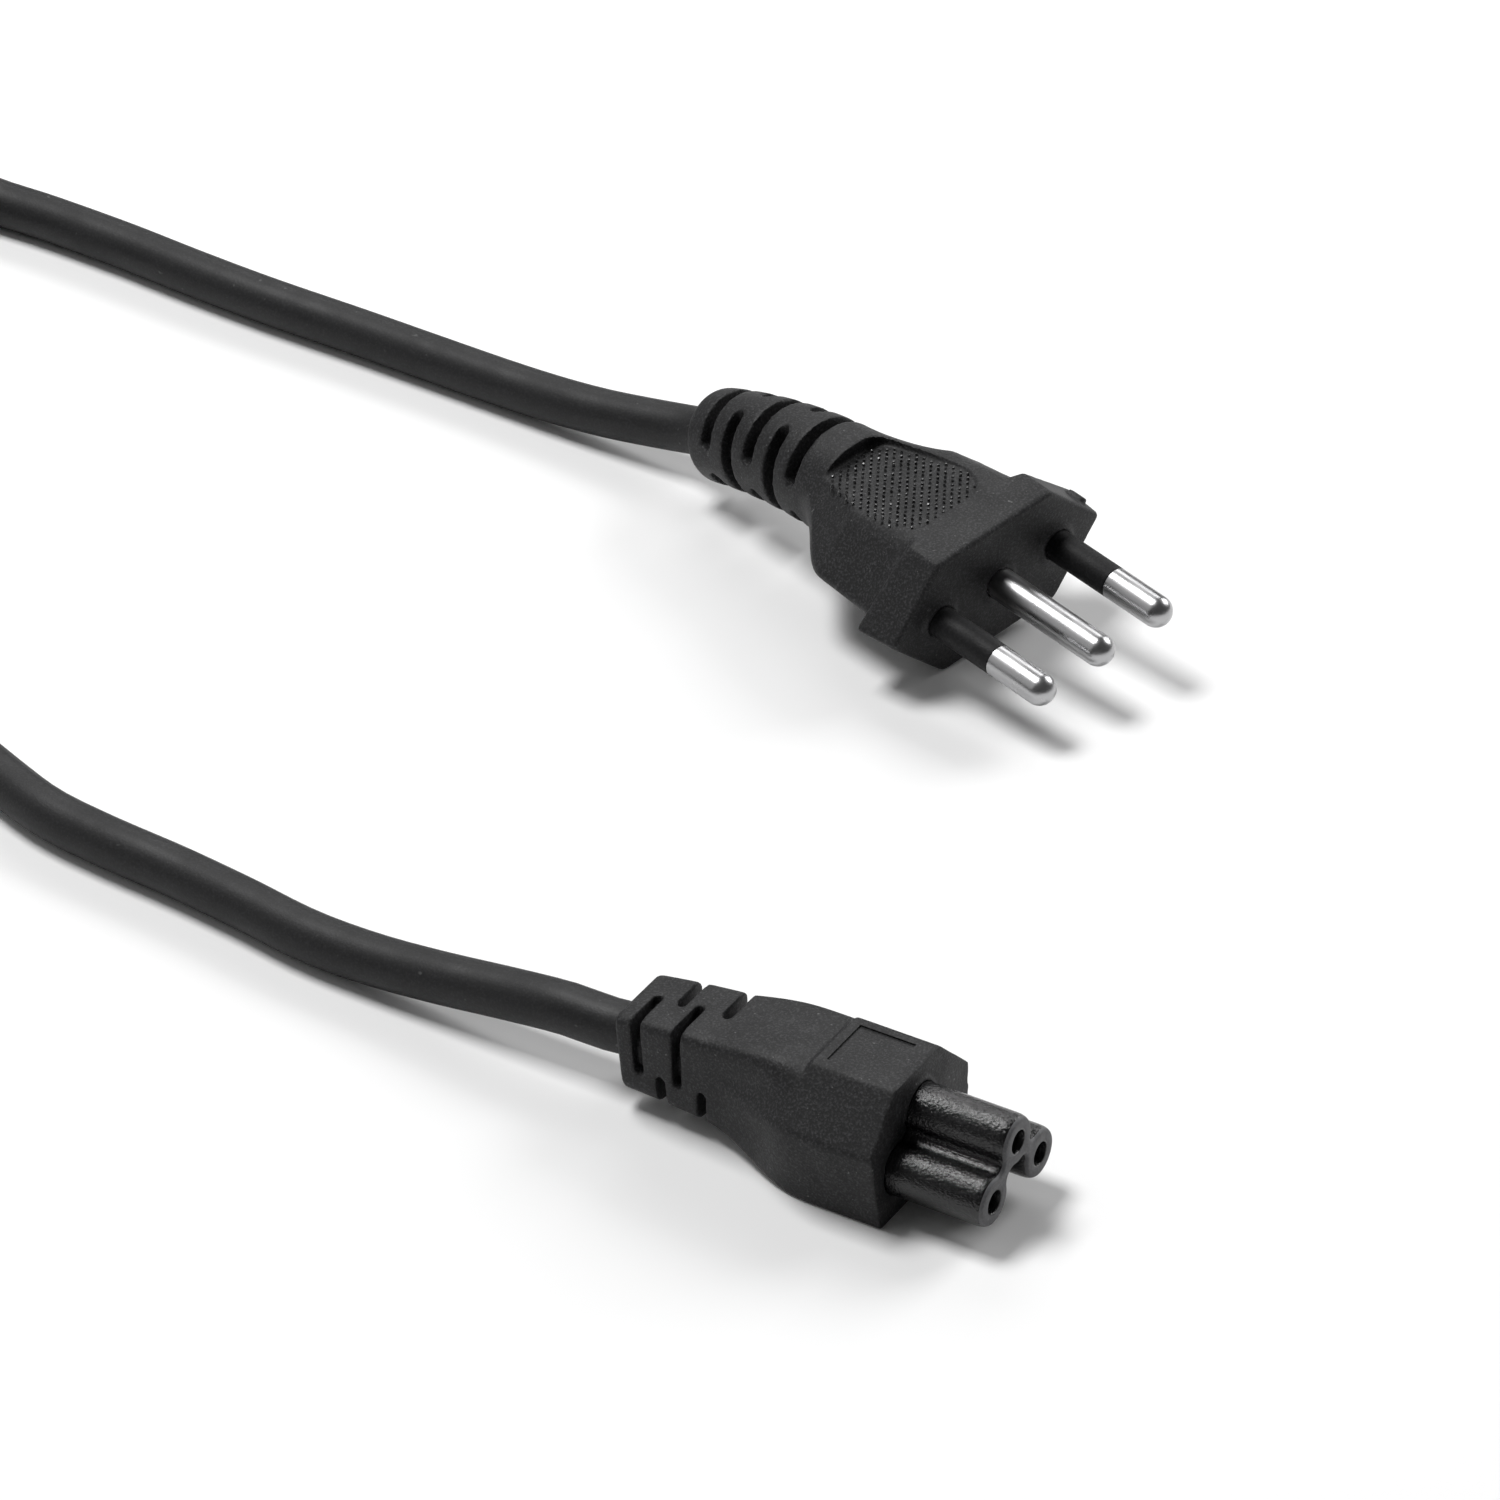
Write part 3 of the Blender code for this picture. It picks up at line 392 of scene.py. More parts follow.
def connectorSections():
    c = connector
    length, rounding = c["reliefLength"], c["reliefRound"]
    sections = []
    for angle in (90, 60, 30):
        a = math.radians(angle)
        along = length - rounding * (1 - math.sin(a))
        sections.append(reliefSection(along, rounding * (1 - math.cos(a))))
    sections += [reliefSection(along) for along in steps(length - rounding, 0.0, 12)]
    wide, high = c["reliefFront"]
    firstTop, firstSide, firstBase = [(wide, c["reliefHeight"] + rise) for rise in (high, 0.0, -high)]

    def flared(x):
        swell = ease((x - reliefFront) / c["flare"])
        return mix(firstSide, c["side"], swell), mix(firstBase, c["base"], swell)

    crease = padBack - c["padStep"]
    backHeight = c["height"] - c["padStep"]
    for x in steps(reliefFront, crease, 24)[1:]:
        t = (x - reliefFront) / (crease - reliefFront)
        top = (wide + (c["backTopHalf"] - wide) * t + c["backTopBulge"] * math.sin(math.pi * t),
               firstTop[1] + (backHeight - firstTop[1]) * math.sin(math.pi / 2 * t))
        topRadius = c["reliefCorner"] + (c["backEdge"] - c["reliefCorner"]) * t
        lowRadius = c["edge"] + (c["reliefCorner"] - c["edge"]) * (1 - t) ** 2
        hollow = c["hollow"] * math.sin(math.pi * t)
        sections.append(connectorSection(x, top, *flared(x), topRadius, lowRadius, hollow))
    for x in steps(padBack, shoulder, 6):
        top = (c["topHalf"], c["height"])
        sections.append(connectorSection(x, top, *flared(x), c["edge"], c["edge"]))
    sections[-1] = [(x + c["lean"] * (1 - z / c["height"]), y, z) for x, y, z in sections[-1]]
    return sections


def slotCutter(bm, place, core, reach, span, width, roundEnd):
    # part of a flat ring round a strain relief, its two ends running out round
    sections = []
    first, last = span
    for angle in steps(first, last, 25):
        fromEnd = min(angle - first, last - angle, roundEnd) / roundEnd
        half = max(0.05, width / 2 * math.sqrt(1 - (1 - fromEnd) ** 2))
        out = Vector((0.0, math.cos(math.radians(angle)), math.sin(math.radians(angle))))
        corners = [(-half, core), (half, core), (half, reach), (-half, reach)]
        sections.append([place @ (Vector((x, 0.0, 0.0)) + out * r) for x, r in corners])
    loft(bm, sections)


def connectorSlots():
    c = connector
    bm = bmesh.new()
    reach = math.hypot(*c["reliefFront"]) + past
    for row, fromBack in enumerate(c["slotsAt"]):
        place = reliefPlace(c["reliefLength"] - fromBack)
        for span in c["shortSlots"] if row % 2 else c["longSlots"]:
            slotCutter(bm, place, c["slotCore"], reach, span, c["slotWidth"], c["slotEnd"])
    return rawObject("connectorSlots", bm)


def boxCutter(name, low, high):
    bm = bmesh.new()
    bmesh.ops.create_cube(bm, size=1.0)
    bmesh.ops.scale(bm, vec=[b - a for a, b in zip(low, high)], verts=bm.verts)
    bmesh.ops.translate(bm, vec=[(a + b) / 2 for a, b in zip(low, high)], verts=bm.verts)
    return rawObject(name, bm)


# Nose: a separate hard insert, three lobes joined by hollow fillets
# the two slants say how far a face is turned to the front, from 0 to 1; faces turned further get the pale
# grey of painted light

nose = {
    "lobe": 3.0, "spacing": 10.0, "earthRise": 4.85, "lowerHeight": 5.4, "fillet": 1.1,
    "edgeLength": 1.25, "edgeInset": 0.5, "seat": 4.0, "gap": 0.3, "pocketFit": 0.02,
    "mouth": 1.35, "mouthEdge": 0.18, "mouthDepth": 2.2, "contact": 1.65,
    "rim": 0.4, "rimLength": 0.4, "rimFrom": 0.2,
    "flashRadius": 0.09, "flashSunk": 0.2, "flashEnds": (2.5, 1.4), "flashTaper": 0.2,
    "roughLitDepth": 0.6, "roughLitSlant": 0.3, "flatSlant": 0.95,
}


def noseOutline(offset=0.0):
    # the cloverleaf across the connector, moved outwards by the offset
    lobe, fillet = nose["lobe"] + offset, nose["fillet"] - offset
    earth = Vector((0.0, nose["lowerHeight"] + nose["earthRise"]))
    left = Vector((-nose["spacing"] / 2, nose["lowerHeight"]))
    middle, along = (earth + left) / 2, (earth - left).normalized()
    across = Vector((-along.y, along.x))
    reach = math.sqrt((nose["lobe"] + nose["fillet"]) ** 2 - ((earth - left).length / 2) ** 2)
    outer, inner = middle + across * reach, middle - across * reach

    def angle(origin, target):
        way = target - origin
        return math.degrees(math.atan2(way.y, way.x)) % 360

    half = arc(earth, lobe, 90, angle(earth, outer), 16)
    half += arc(outer, fillet, angle(outer, earth) + 360, angle(outer, left), 10)[1:]
    half += arc(left, lobe, angle(left, outer), angle(left, inner) + 360, 40)[1:]
    half += arc(inner, fillet, angle(inner, left), angle(inner, earth), 10)[1:]
    half += arc(earth, lobe, angle(earth, inner), 270, 6)[1:]
    return half + [(-y, z) for y, z in reversed(half[1:-1])], outer


def noseCentres():
    half, low = nose["spacing"] / 2, nose["lowerHeight"]
    return ((-half, low), (half, low), (0.0, low + nose["earthRise"]))


def noseBar(name, offset, first, last):
    bm = bmesh.new()
    outline = noseOutline(offset)[0]
    loft(bm, [[(x, y, z) for y, z in outline] for x in (first, last)])
    return rawObject(name, bm)


def noseRim():
    # the thin lip that the overmould leaves over the upper half of the top lobe
    centre = noseCentres()[2]
    lean = connector["lean"] * (1 - (centre[1] + nose["lobe"]) / connector["height"])
    start, end = shoulder - past, shoulder + lean + nose["rimLength"]
    inner, outer = nose["lobe"] + nose["pocketFit"], nose["lobe"] + nose["rim"]
    bm = bmesh.new()
    turnProfile(bm, [(start, inner), (start, outer), (end, outer), (end, inner), (start, inner)], centre, 64)
    bmesh.ops.bisect_plane(bm, geom=bm.verts[:] + bm.edges[:] + bm.faces[:], clear_inner=True,
                           plane_co=(0.0, 0.0, centre[1] + nose["rimFrom"]), plane_no=(0.0, 0.0, 1.0))
    bmesh.ops.holes_fill(bm, edges=[edge for edge in bm.edges if edge.is_boundary])
    return rawObject("rim", bm)


def makeConnector(material):
    bm = bmesh.new()
    loft(bm, connectorSections())
    body = rawObject("connector", bm)
    cutters = connectorSlots()
    pocketEnds = shoulder - nose["seat"] - nose["gap"], shoulder + connector["lean"] + past
    join(cutters, noseBar("pocket", nose["pocketFit"], *pocketEnds))
    cutAway(body, cutters)
    join(body, noseRim())
    mouldedEdges(body, connector["voxel"], connector["softening"])
    top, front = connector["height"], shoulder - connector["panelFromShoulder"]
    long, wide = connector["panel"]
    low = (front - long, -wide / 2, top - connector["panelDepth"])
    cutAway(body, boxCutter("panel", low, (front, wide / 2, top + past)))
    return finished(body, "connectorOvermould", Matrix(), material, ["connector_body"], 40)


def makeNose(material, roughLitFaceMaterial):
    back, tip, edge = shoulder - nose["seat"], connector["noseTip"], nose["edgeLength"]
    sections = [[(back, y, z) for y, z in noseOutline()[0]]]
    for angle in range(0, 91, 15):
        a = math.radians(angle)
        outline = noseOutline(-nose["edgeInset"] * (1 - math.cos(a)))[0]
        sections.append([(tip - edge * (1 - math.sin(a)), y, z) for y, z in outline])
    bm = bmesh.new()
    loft(bm, sections)
    insert = rawObject("nose", bm)
    bm = bmesh.new()
    mouth, chamber, rim = nose["mouth"], nose["contact"] + nose["gap"], nose["mouthEdge"]
    deep = tip - nose["mouthDepth"]
    profile = [(back - past, 0.0), (back - past, chamber), (deep, chamber), (deep, mouth),
               (tip - rim, mouth), (tip - 0.3 * rim, mouth + 0.3 * rim), (tip, mouth + rim),
               (tip + past, mouth + rim + past), (tip + past, 0.0)]
    for centre in noseCentres():
        turnProfile(bm, profile, centre, 48)
    cutAway(insert, rawObject("bores", bm))
    join(insert, flashLines())
    finished(insert, "noseInsert", Matrix(), material, ["connector_nose"], 30)
    insert.data.materials.append(roughLitFaceMaterial)
    for face in insert.data.polygons:
        # the front and its rounding are rough and painted pale grey as painted light for the lit front, the
        # bevels of the mouths aren't
        middle, slant = face.center / mm, face.normal.x
        nearest = min(math.hypot(middle.y - y, middle.z - z) for y, z in noseCentres())
        rounding = slant > nose["roughLitSlant"] and nearest > mouth + rim
        if middle.x > tip - nose["roughLitDepth"] * edge and (rounding or slant > nose["flatSlant"]):
            face.material_index = 1
    return insert


def flashLines():
    # the thin line that the two halves of the tool leave in the hollow between two lobes
    outer = noseOutline()[1]
    way = (Vector((0.0, nose["lowerHeight"])) - outer).normalized()
    spot = outer + way * (nose["fillet"] + nose["flashRadius"] * nose["flashSunk"])
    start, end = shoulder + nose["flashEnds"][0], connector["noseTip"] - nose["flashEnds"][1]
    taper, radius = nose["flashTaper"], nose["flashRadius"]
    bm = bmesh.new()
    for side in (1, -1):
        centre = (side * spot.x, spot.y)
        line = [(start, 0.0), (start + taper, radius), (end - taper, radius), (end, 0.0)]
        turnProfile(bm, line, centre, 8)
    return rawObject("flash", bm)


# Plug: flat six-sided flange and body, narrowing to a round bent strain relief

plug = {
    "place": (-32.4, 94.75, 9.605), "yaw": -16.6, "pitch": -4.3, "roll": 7.85,
    "flangeDepth": 5.0, "flangeTip": 16.9, "flangeDraft": 0.6, "flangeTipDepth": 6.0, "flangeTop": 9.15,
    "flangeHigh": 8.45, "flangeEdge": 0.3, "stepLength": 1.6, "stepShare": 0.8, "edge": 0.5,
    "body": (14.4, 8.2, 8.35), "waist": (14.0, 7.2, 7.2), "waistAt": 16.0, "neckAt": 28.0, "neck": 7.0,
    "tipNarrowing": 1.65, "flatNarrowing": 0.9, "bodyEdge": 2.4, "bodyTipEdge": 0.9, "bodyShift": 0.45,
    "reliefBack": 5.9, "endRound": 1.6,
    "bendStart": 20.0, "bendLength": 29.4, "bendDown": 23.0, "bendSideways": 3.0,
    "slotRows": 5, "slotFirst": 4.4, "slotPitch": 3.95, "slotWidth": 1.8, "topSpan": 75, "sideSpan": 74,
    "slotCore": 4.3, "slotEnd": 10.0, "cornerPoints": 12, "voxel": 0.242, "softening": 3,
}
plugLength = plug["bendStart"] + plug["bendLength"]


def plugPlace():
    turn = (Matrix.Rotation(math.radians(plug["yaw"]), 4, "Z")
            @ Matrix.Rotation(math.radians(-plug["pitch"]), 4, "Y")
            @ Matrix.Rotation(math.radians(plug["roll"]), 4, "X"))
    return Matrix.Translation(plug["place"]) @ turn


def alongPlug(along):
    # a place on the plug's middle line, this far behind its front face
    bent = max(0.0, along - plug["bendStart"]) / plug["bendLength"]
    down, side = math.radians(-plug["bendDown"]) * bent, math.radians(plug["bendSideways"]) * bent
    half = Matrix.Rotation(side / 2, 4, "Z") @ Matrix.Rotation(down / 2, 4, "Y")
    place = Vector((-min(along, plug["bendStart"]), 0.0, 0.0))
    place += half @ Vector((-bent * plug["bendLength"], 0.0, 0.0))
    return Matrix.Translation(place) @ Matrix.Rotation(side, 4, "Z") @ Matrix.Rotation(down, 4, "Y")


def hexagon(tip, top, high, radius):
    corners = [(tip, 0.0), (top, high), (-top, high), (-tip, 0.0), (-top, -high), (top, -high)]
    return easedOutline(corners, radius, plug["cornerPoints"])


def bodyHexagon(size):
    # the section behind the flange, with softer edges and a little to one side
    radii = [plug["bodyTipEdge"], plug["bodyEdge"], plug["bodyEdge"]] * 2
    return [(y - plug["bodyShift"], z) for y, z in hexagon(*size, radii)]


def roundSection(radius):
    count = plug["cornerPoints"] * 6
    start = -(plug["cornerPoints"] - 1) / 2
    angles = [2 * math.pi * (start + i) / count for i in range(count)]
    return [(radius * math.cos(a), radius * math.sin(a)) for a in angles]


def plugSection(along, section):
    place = alongPlug(along)
    return [place @ Vector((0.0, y, z)) for y, z in section]


def flangeSections():
    p = plug
    face = (p["flangeTip"], p["flangeTop"], p["flangeHigh"])
    sections = [plugSection(0.0, hexagon(*(size - p["flangeEdge"] for size in face), p["edge"])),
                plugSection(p["flangeEdge"], hexagon(*face, p["edge"]))]
    further = (p["flangeTipDepth"] - p["flangeDepth"]) / (p["flangeTip"] - p["flangeTop"])
    for along, inset in ((p["flangeDepth"] - p["flangeEdge"], 0.0), (p["flangeDepth"], p["flangeEdge"])):
        tip = p["flangeTip"] + p["flangeDraft"] - inset
        section = plugSection(along, hexagon(tip, p["flangeTop"], p["flangeHigh"], p["edge"]))
        for point in section:
            point.x -= further * max(0.0, abs(point.y) - p["flangeTop"])
        sections.append(section)
    return sections


def plugSections():
    p = plug
    flange = hexagon(p["flangeTip"], p["flangeTop"], p["flangeHigh"], p["edge"])
    body = bodyHexagon(p["body"])
    waist = bodyHexagon(p["waist"])
    neck = roundSection(p["neck"])
    sections = flangeSections()
    sections.append(plugSection(p["flangeDepth"] + p["stepLength"] / 2,
                                [mix(a, b, p["stepShare"]) for a, b in zip(flange, body)]))
    sections.append(plugSection(p["flangeDepth"] + p["stepLength"], body))
    for t in steps(0.0, 1.0, 24):
        tips, flats = (math.sin(t * math.pi / 2) ** p[power] for power in ("tipNarrowing", "flatNarrowing"))
        section = [mix(a, b, tips if i // p["cornerPoints"] in (0, 3) else flats)
                   for i, (a, b) in enumerate(zip(waist, neck))]
        sections.append(plugSection(p["waistAt"] + (p["neckAt"] - p["waistAt"]) * t, section))
    end = plugLength - p["endRound"]
    for t in steps(0.0, 1.0, 16)[1:-1]:
        radius = p["neck"] + (p["reliefBack"] - p["neck"]) * t
        sections.append(plugSection(p["neckAt"] + (end - p["neckAt"]) * t, roundSection(radius)))
    for angle in range(0, 91, 15):
        a = math.radians(angle)
        radius = p["reliefBack"] - p["endRound"] * (1 - math.cos(a))
        sections.append(plugSection(end + p["endRound"] * math.sin(a), roundSection(radius)))
    return sections


def plugSlots():
    p = plug
    bm = bmesh.new()
    for row in range(p["slotRows"]):
        place = alongPlug(plugLength - p["slotFirst"] - row * p["slotPitch"])
        middles, half = ((0, 180), p["sideSpan"]) if row % 2 else ((90, 270), p["topSpan"])
        for middle in middles:
            slotCutter(bm, place, p["slotCore"], p["neck"] + past, (middle - half, middle + half),
                       p["slotWidth"], p["slotEnd"])
    return rawObject("plugSlots", bm)


# Finger grips: sunk wedges with rows of small blunt bumps, each with a height and tilt of its own

grip = {"front": -6.1, "back": -24.3, "widest": -10.5, "halfWidth": 7.4, "frontHalf": 5.0, "backHalf": 5.3,
        "shift": 1.5, "corner": 2.4, "depth": 2.0, "lip": 0.05, "pitch": 0.64, "bump": 0.27, "bumpTop": 0.13,
        "bumpHeight": 0.27, "uneven": 0.45, "tilt": 16.0, "seed": 5, "margin": 0.4}


def gripCorners(margin=0.0):
    g = grip
    corners = [(g["front"] - margin, g["frontHalf"]), (g["widest"], g["halfWidth"] - margin),
               (g["back"] + margin, g["backHalf"] - margin)]
    corners += [(x, -y) for x, y in reversed(corners)]
    return [(x, y - g["shift"]) for x, y in corners]


def gripFloor(x):
    slope = (plug["body"][2] - plug["neck"] + grip["depth"]) / (grip["front"] - grip["back"])
    return plug["body"][2] - grip["lip"] - slope * (grip["front"] - x)


def gripCutter(side):
    bm = bmesh.new()
    outline = easedOutline(gripCorners(), grip["corner"])
    high = side * (plug["body"][2] + past)
    loft(bm, [[(x, y, side * gripFloor(x)) for x, y in outline], [(x, y, high) for x, y in outline]])
    return rawObject("gripCutter", bm)


def insideOutline(x, y, outline):
    # counts how often a line to the right crosses the outline
    crossings = 0
    for (ax, ay), (bx, by) in zip(outline, outline[1:] + outline[:1]):
        if (ay > y) != (by > y) and x < ax + (bx - ax) * (y - ay) / (by - ay):
            crossings += 1
    return crossings % 2 == 1


def makeGripBumps(material):
    g = grip
    outline = easedOutline(gripCorners(g["margin"]), g["corner"])
    count = int((g["front"] - g["back"]) / g["pitch"])
    draw = random.Random(g["seed"])
    bm = bmesh.new()
    for side in (1, -1):
        for i in range(-count, count + 1):
            for j in range(-count, count + 1):
                # the rows run at 45 degrees to the plug
                x, y = g["front"] - (i + j) * g["pitch"], (i - j) * g["pitch"] - g["shift"]
                if not insideOutline(x, y, outline):
                    continue
                lean = Matrix.Rotation(-side * math.atan(gripSlope()), 4, "Y")
                turn = Matrix.Rotation(math.radians(0 if side > 0 else 180), 4, "X")
                place = Matrix.Translation((x, y, side * gripFloor(x))) @ lean @ turn
                tall = g["bumpHeight"] * draw.uniform(1 - g["uneven"], 1 + g["uneven"])
                for axis in "XY":
                    place = place @ Matrix.Rotation(math.radians(draw.uniform(-1, 1) * g["tilt"]), 4, axis)
                bmesh.ops.create_cone(bm, cap_ends=True, segments=6, radius1=g["bump"], radius2=g["bumpTop"],
                                      depth=2 * tall, matrix=place)
    return finished(rawObject("bumps", bm), "gripBumps", plugPlace(), material, (), 30)


def gripSlope():
    return (gripFloor(grip["front"]) - gripFloor(grip["back"])) / (grip["front"] - grip["back"])


# Pins: turned and plated, the outer two sleeved next to the face

pins = {"radius": 2.0, "length": 19.0, "spacing": 9.5, "seat": 7.0, "neck": 1.35, "neckEdge": 0.06,
        "sleeve": 10.0, "sleeveSeat": 2.0, "sleeveEdge": 0.15, "seam": 0.02, "gap": 0.3, "fit": 0.05,
        "collar": 2.75, "collarHeight": 0.45, "collarEdge": 0.35}
pinPlaces = {"line": -pins["spacing"], "earth": 0.0, "neutral": pins["spacing"]}
nub = {"size": (2.6, 1.1, 1.0), "place": (-2.3, 15.2, 2.3)}


def pinCollars():
    # low rings that the overmould leaves round each pin
    bm = bmesh.new()
    out, high, inner = pins["collar"], pins["collarHeight"], pins["radius"] - pins["fit"]
    for y in pinPlaces.values():
        turnProfile(bm, [(-past, inner), (-past, out), (0.3 * high, out), (high, out - pins["collarEdge"]),
                         (high, inner), (-past, inner)], (y, 0.0), 48)
    return rawObject("collars", bm)


def pinBores():
    bm = bmesh.new()
    deep, bore = -pins["seat"] - pins["gap"], pins["radius"] - pins["fit"]
    for y in pinPlaces.values():
        turnProfile(bm, [(deep, 0.0), (deep, bore), (2 * past, bore), (2 * past, 0.0)], (y, 0.0), 48)
    return rawObject("bores", bm)


def flangeNub():
    # the small stub where the plastic entered the tool, on the far slant of the flange
    bm = bmesh.new()
    bmesh.ops.create_cube(bm, size=1.0)
    bmesh.ops.scale(bm, vec=nub["size"], verts=bm.verts)
    slant = math.atan2(plug["flangeHigh"], plug["flangeTip"] - plug["flangeTop"])
    bmesh.ops.rotate(bm, cent=(0.0, 0.0, 0.0), matrix=Matrix.Rotation(-slant, 3, "X"), verts=bm.verts)
    bmesh.ops.translate(bm, vec=nub["place"], verts=bm.verts)
    return rawObject("nub", bm)


def makePlug(material):
    bm = bmesh.new()
    loft(bm, plugSections())
    body = rawObject("plug", bm)
    cutters = plugSlots()
    for cutter in (gripCutter(1), gripCutter(-1), pinBores()):
        join(cutters, cutter)
    cutAway(body, cutters)
    join(body, pinCollars())
    join(body, flangeNub())
    mouldedEdges(body, plug["voxel"], plug["softening"])
    return finished(body, "plugOvermould", plugPlace(), material, ["plug_body"], 40)


def makePins(metal, insulation):
    made = []
    radius, neck, end = pins["radius"], pins["neck"], pins["length"] - pins["radius"]
    tip = [(end + radius * math.sin(math.radians(a)), radius * math.cos(math.radians(a)))
           for a in range(0, 91, 6)]
    bare = [(-pins["seat"], 0.0), (-pins["seat"], radius)] + tip
    foot, top, edge = -pins["sleeveSeat"] - pins["gap"], pins["sleeve"], pins["neckEdge"]
    necked = bare[:2] + [(foot, radius), (foot, neck), (top, neck), (top, radius - edge)]
    necked += [(top + edge, radius)] + tip
    foot, inner, lip, end = -pins["sleeveSeat"], neck + pins["fit"], pins["sleeveEdge"], top - pins["seam"]
    sleeve = [(foot, inner), (foot, radius), (top - lip, radius), (top - 0.3 * lip, radius - 0.3 * lip),
              (end, radius - lip), (end, inner), (foot, inner)]
    for pole, y in pinPlaces.items():
        bm = bmesh.new()
        turnProfile(bm, bare if pole == "earth" else necked, (y, 0.0), 72)
        made.append(finished(rawObject("pin", bm), "pin" + pole.capitalize(), plugPlace(), metal,
                             ["pin_" + pole], 35))
        if pole != "earth":
            bm = bmesh.new()
            turnProfile(bm, sleeve, (y, 0.0), 72)
            made.append(finished(rawObject("sleeve", bm), "sleeve" + pole.capitalize(), plugPlace(),
                                 insulation, ["pin_sleeve_" + pole], 35))
    return made


# Cord: one round mains cord from relief to relief, its spare length in a flat coil

cord = {
    "diameter": 6.0, "length": 1500.0, "sunk": 1.5, "straightOut": 4.5, "pointEvery": 2.5, "bevelSteps": 9,
    "fromConnector": (
        (-33.5, 0.0, 6.4), (-41.3, 0.0, 5.5), (-50.2, 0.0, 4.3), (-59.0, 0.0, 3.5), (-68.0, 0.4, 3.2),
        (-78.0, 2.0, 3.1), (-88.0, 3.2, 3.1), (-98.0, 4.0, 3.1), (-107.0, 5.3, 3.1), (-115.8, 8.3, 3.1),
        (-128.0, 13.2, 3.1), (-141.0, 18.8, 3.1), (-155.0, 24.2, 3.1), (-170.0, 29.0, 3.1),
        (-185.0, 32.7, 3.1), (-200.0, 35.3, 3.4), (-213.8, 36.0, 3.7)),
    "toPlug": (
        (-225.0, 114.0, 9.3), (-213.8, 114.0, 7.9), (-200.0, 114.4, 4.3), (-192.0, 114.7, 3.2),
        (-184.0, 114.8, 3.1), (-172.0, 114.2, 3.1), (-160.0, 113.1, 3.1), (-148.0, 112.3, 3.1),
        (-134.0, 111.9, 3.1), (-122.0, 111.4, 3.1), (-112.0, 110.9, 3.2), (-104.0, 110.5, 3.5),
        (-97.0, 110.3, 4.0), (-90.0, 110.2, 4.9)),
}
coil = {"centre": (-236.0, 75.0), "radii": (39.0, 33.0, 27.0), "turns": 5.5, "perTurn": 36, "stepIn": 1 / 6,
        "climb": (2.55, 2.85), "low": 3.05, "tieAngle": 205.0, "tieLift": 0.95}


def coilRadius(turn):
    # inwards on the lower layer, outwards on the upper one, a diameter a turn
    outer, middle, inner = coil["radii"]
    share = coil["stepIn"]
    radius = outer
    for start, change in ((1 - share, middle - outer), (2 - share, inner - middle),
                          (3.5, middle - inner), (4.5, outer - middle)):
        radius += change * ease((turn - start) / share)
    return radius


def coilPoints():
    points = []
    count = round(coil["turns"] * coil["perTurn"])
    first, last = coil["climb"]
    for i in range(count + 1):
        turn = coil["turns"] * i / count
        angle = math.radians(-90 - 360 * turn)
        lean = coil["tieLift"] * (0.5 + 0.5 * math.cos(angle - math.radians(coil["tieAngle"])))
        layer = cord["diameter"] * ease((turn - first) / (last - first))
        radius = coilRadius(turn)
        x, y = coil["centre"]
        z = coil["low"] + lean + layer
        points.append((x + radius * math.cos(angle), y + radius * math.sin(angle), z))
    return points


def smoothLine(knots, step):
    # evenly spaced points on a smooth curve through the knots
    knots = [Vector(point) for point in knots]
    knots = [knots[0] * 2 - knots[1]] + knots + [knots[-1] * 2 - knots[-2]]
    dense = []
    for a, b, c, d in zip(knots, knots[1:], knots[2:], knots[3:]):
        for t in steps(0.0, 1.0, 17)[:-1]:
            dense.append(0.5 * (2 * b + (c - a) * t + (2 * a - 5 * b + 4 * c - d) * t ** 2
                                + (3 * b - a - 3 * c + d) * t ** 3))
    dense.append(knots[-2])
    line, walked = [dense[0]], 0.0
    for a, b in zip(dense, dense[1:]):
        walked += (b - a).length
        if walked >= step:
            line.append(b)
            walked = 0.0
    line[-1] = dense[-1]
    return line


def makeCord(material):
    near = reliefPlace(connector["reliefLength"])
    far = plugPlace() @ alongPlug(plugLength)
    ends = [[place @ Vector((-along, 0.0, 0.0)) for along in (-cord["sunk"], 0.0, cord["straightOut"])]
            for place in (near, far)]
    knots = ends[0] + list(cord["fromConnector"]) + coilPoints() + list(cord["toPlug"]) + ends[1][::-1]
    line = smoothLine(knots, cord["pointEvery"])
    length = sum((b - a).length for a, b in zip(line, line[1:]))
    print("cord measures", round(length), "mm in", len(line), "points")
    curve = bpy.data.curves.new("mainsCord", "CURVE")
    curve.dimensions = "3D"
    curve.bevel_depth = cord["diameter"] / 2 * mm
    curve.bevel_resolution = cord["bevelSteps"]
    curve.use_fill_caps = True
    spline = curve.splines.new("POLY")
    spline.points.add(len(line) - 1)
    for spot, point in zip(spline.points, line):
        spot.co = (*(point * mm), 1.0)
    spline.use_smooth = True
    thing = bpy.data.objects.new("mainsCord", curve)
    bpy.context.collection.objects.link(thing)
    curve.materials.append(material)
    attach(thing, "root")
    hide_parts("cord_connector_side", "cord_coil", "cord_plug_side")
    return thing


# Tie: a flat tape wound once round the turns

tie = {"half": 9.7, "low": 0.72, "high": 13.3, "thickness": 0.7, "width": 7.0, "corner": 3.0, "edge": 0.2}


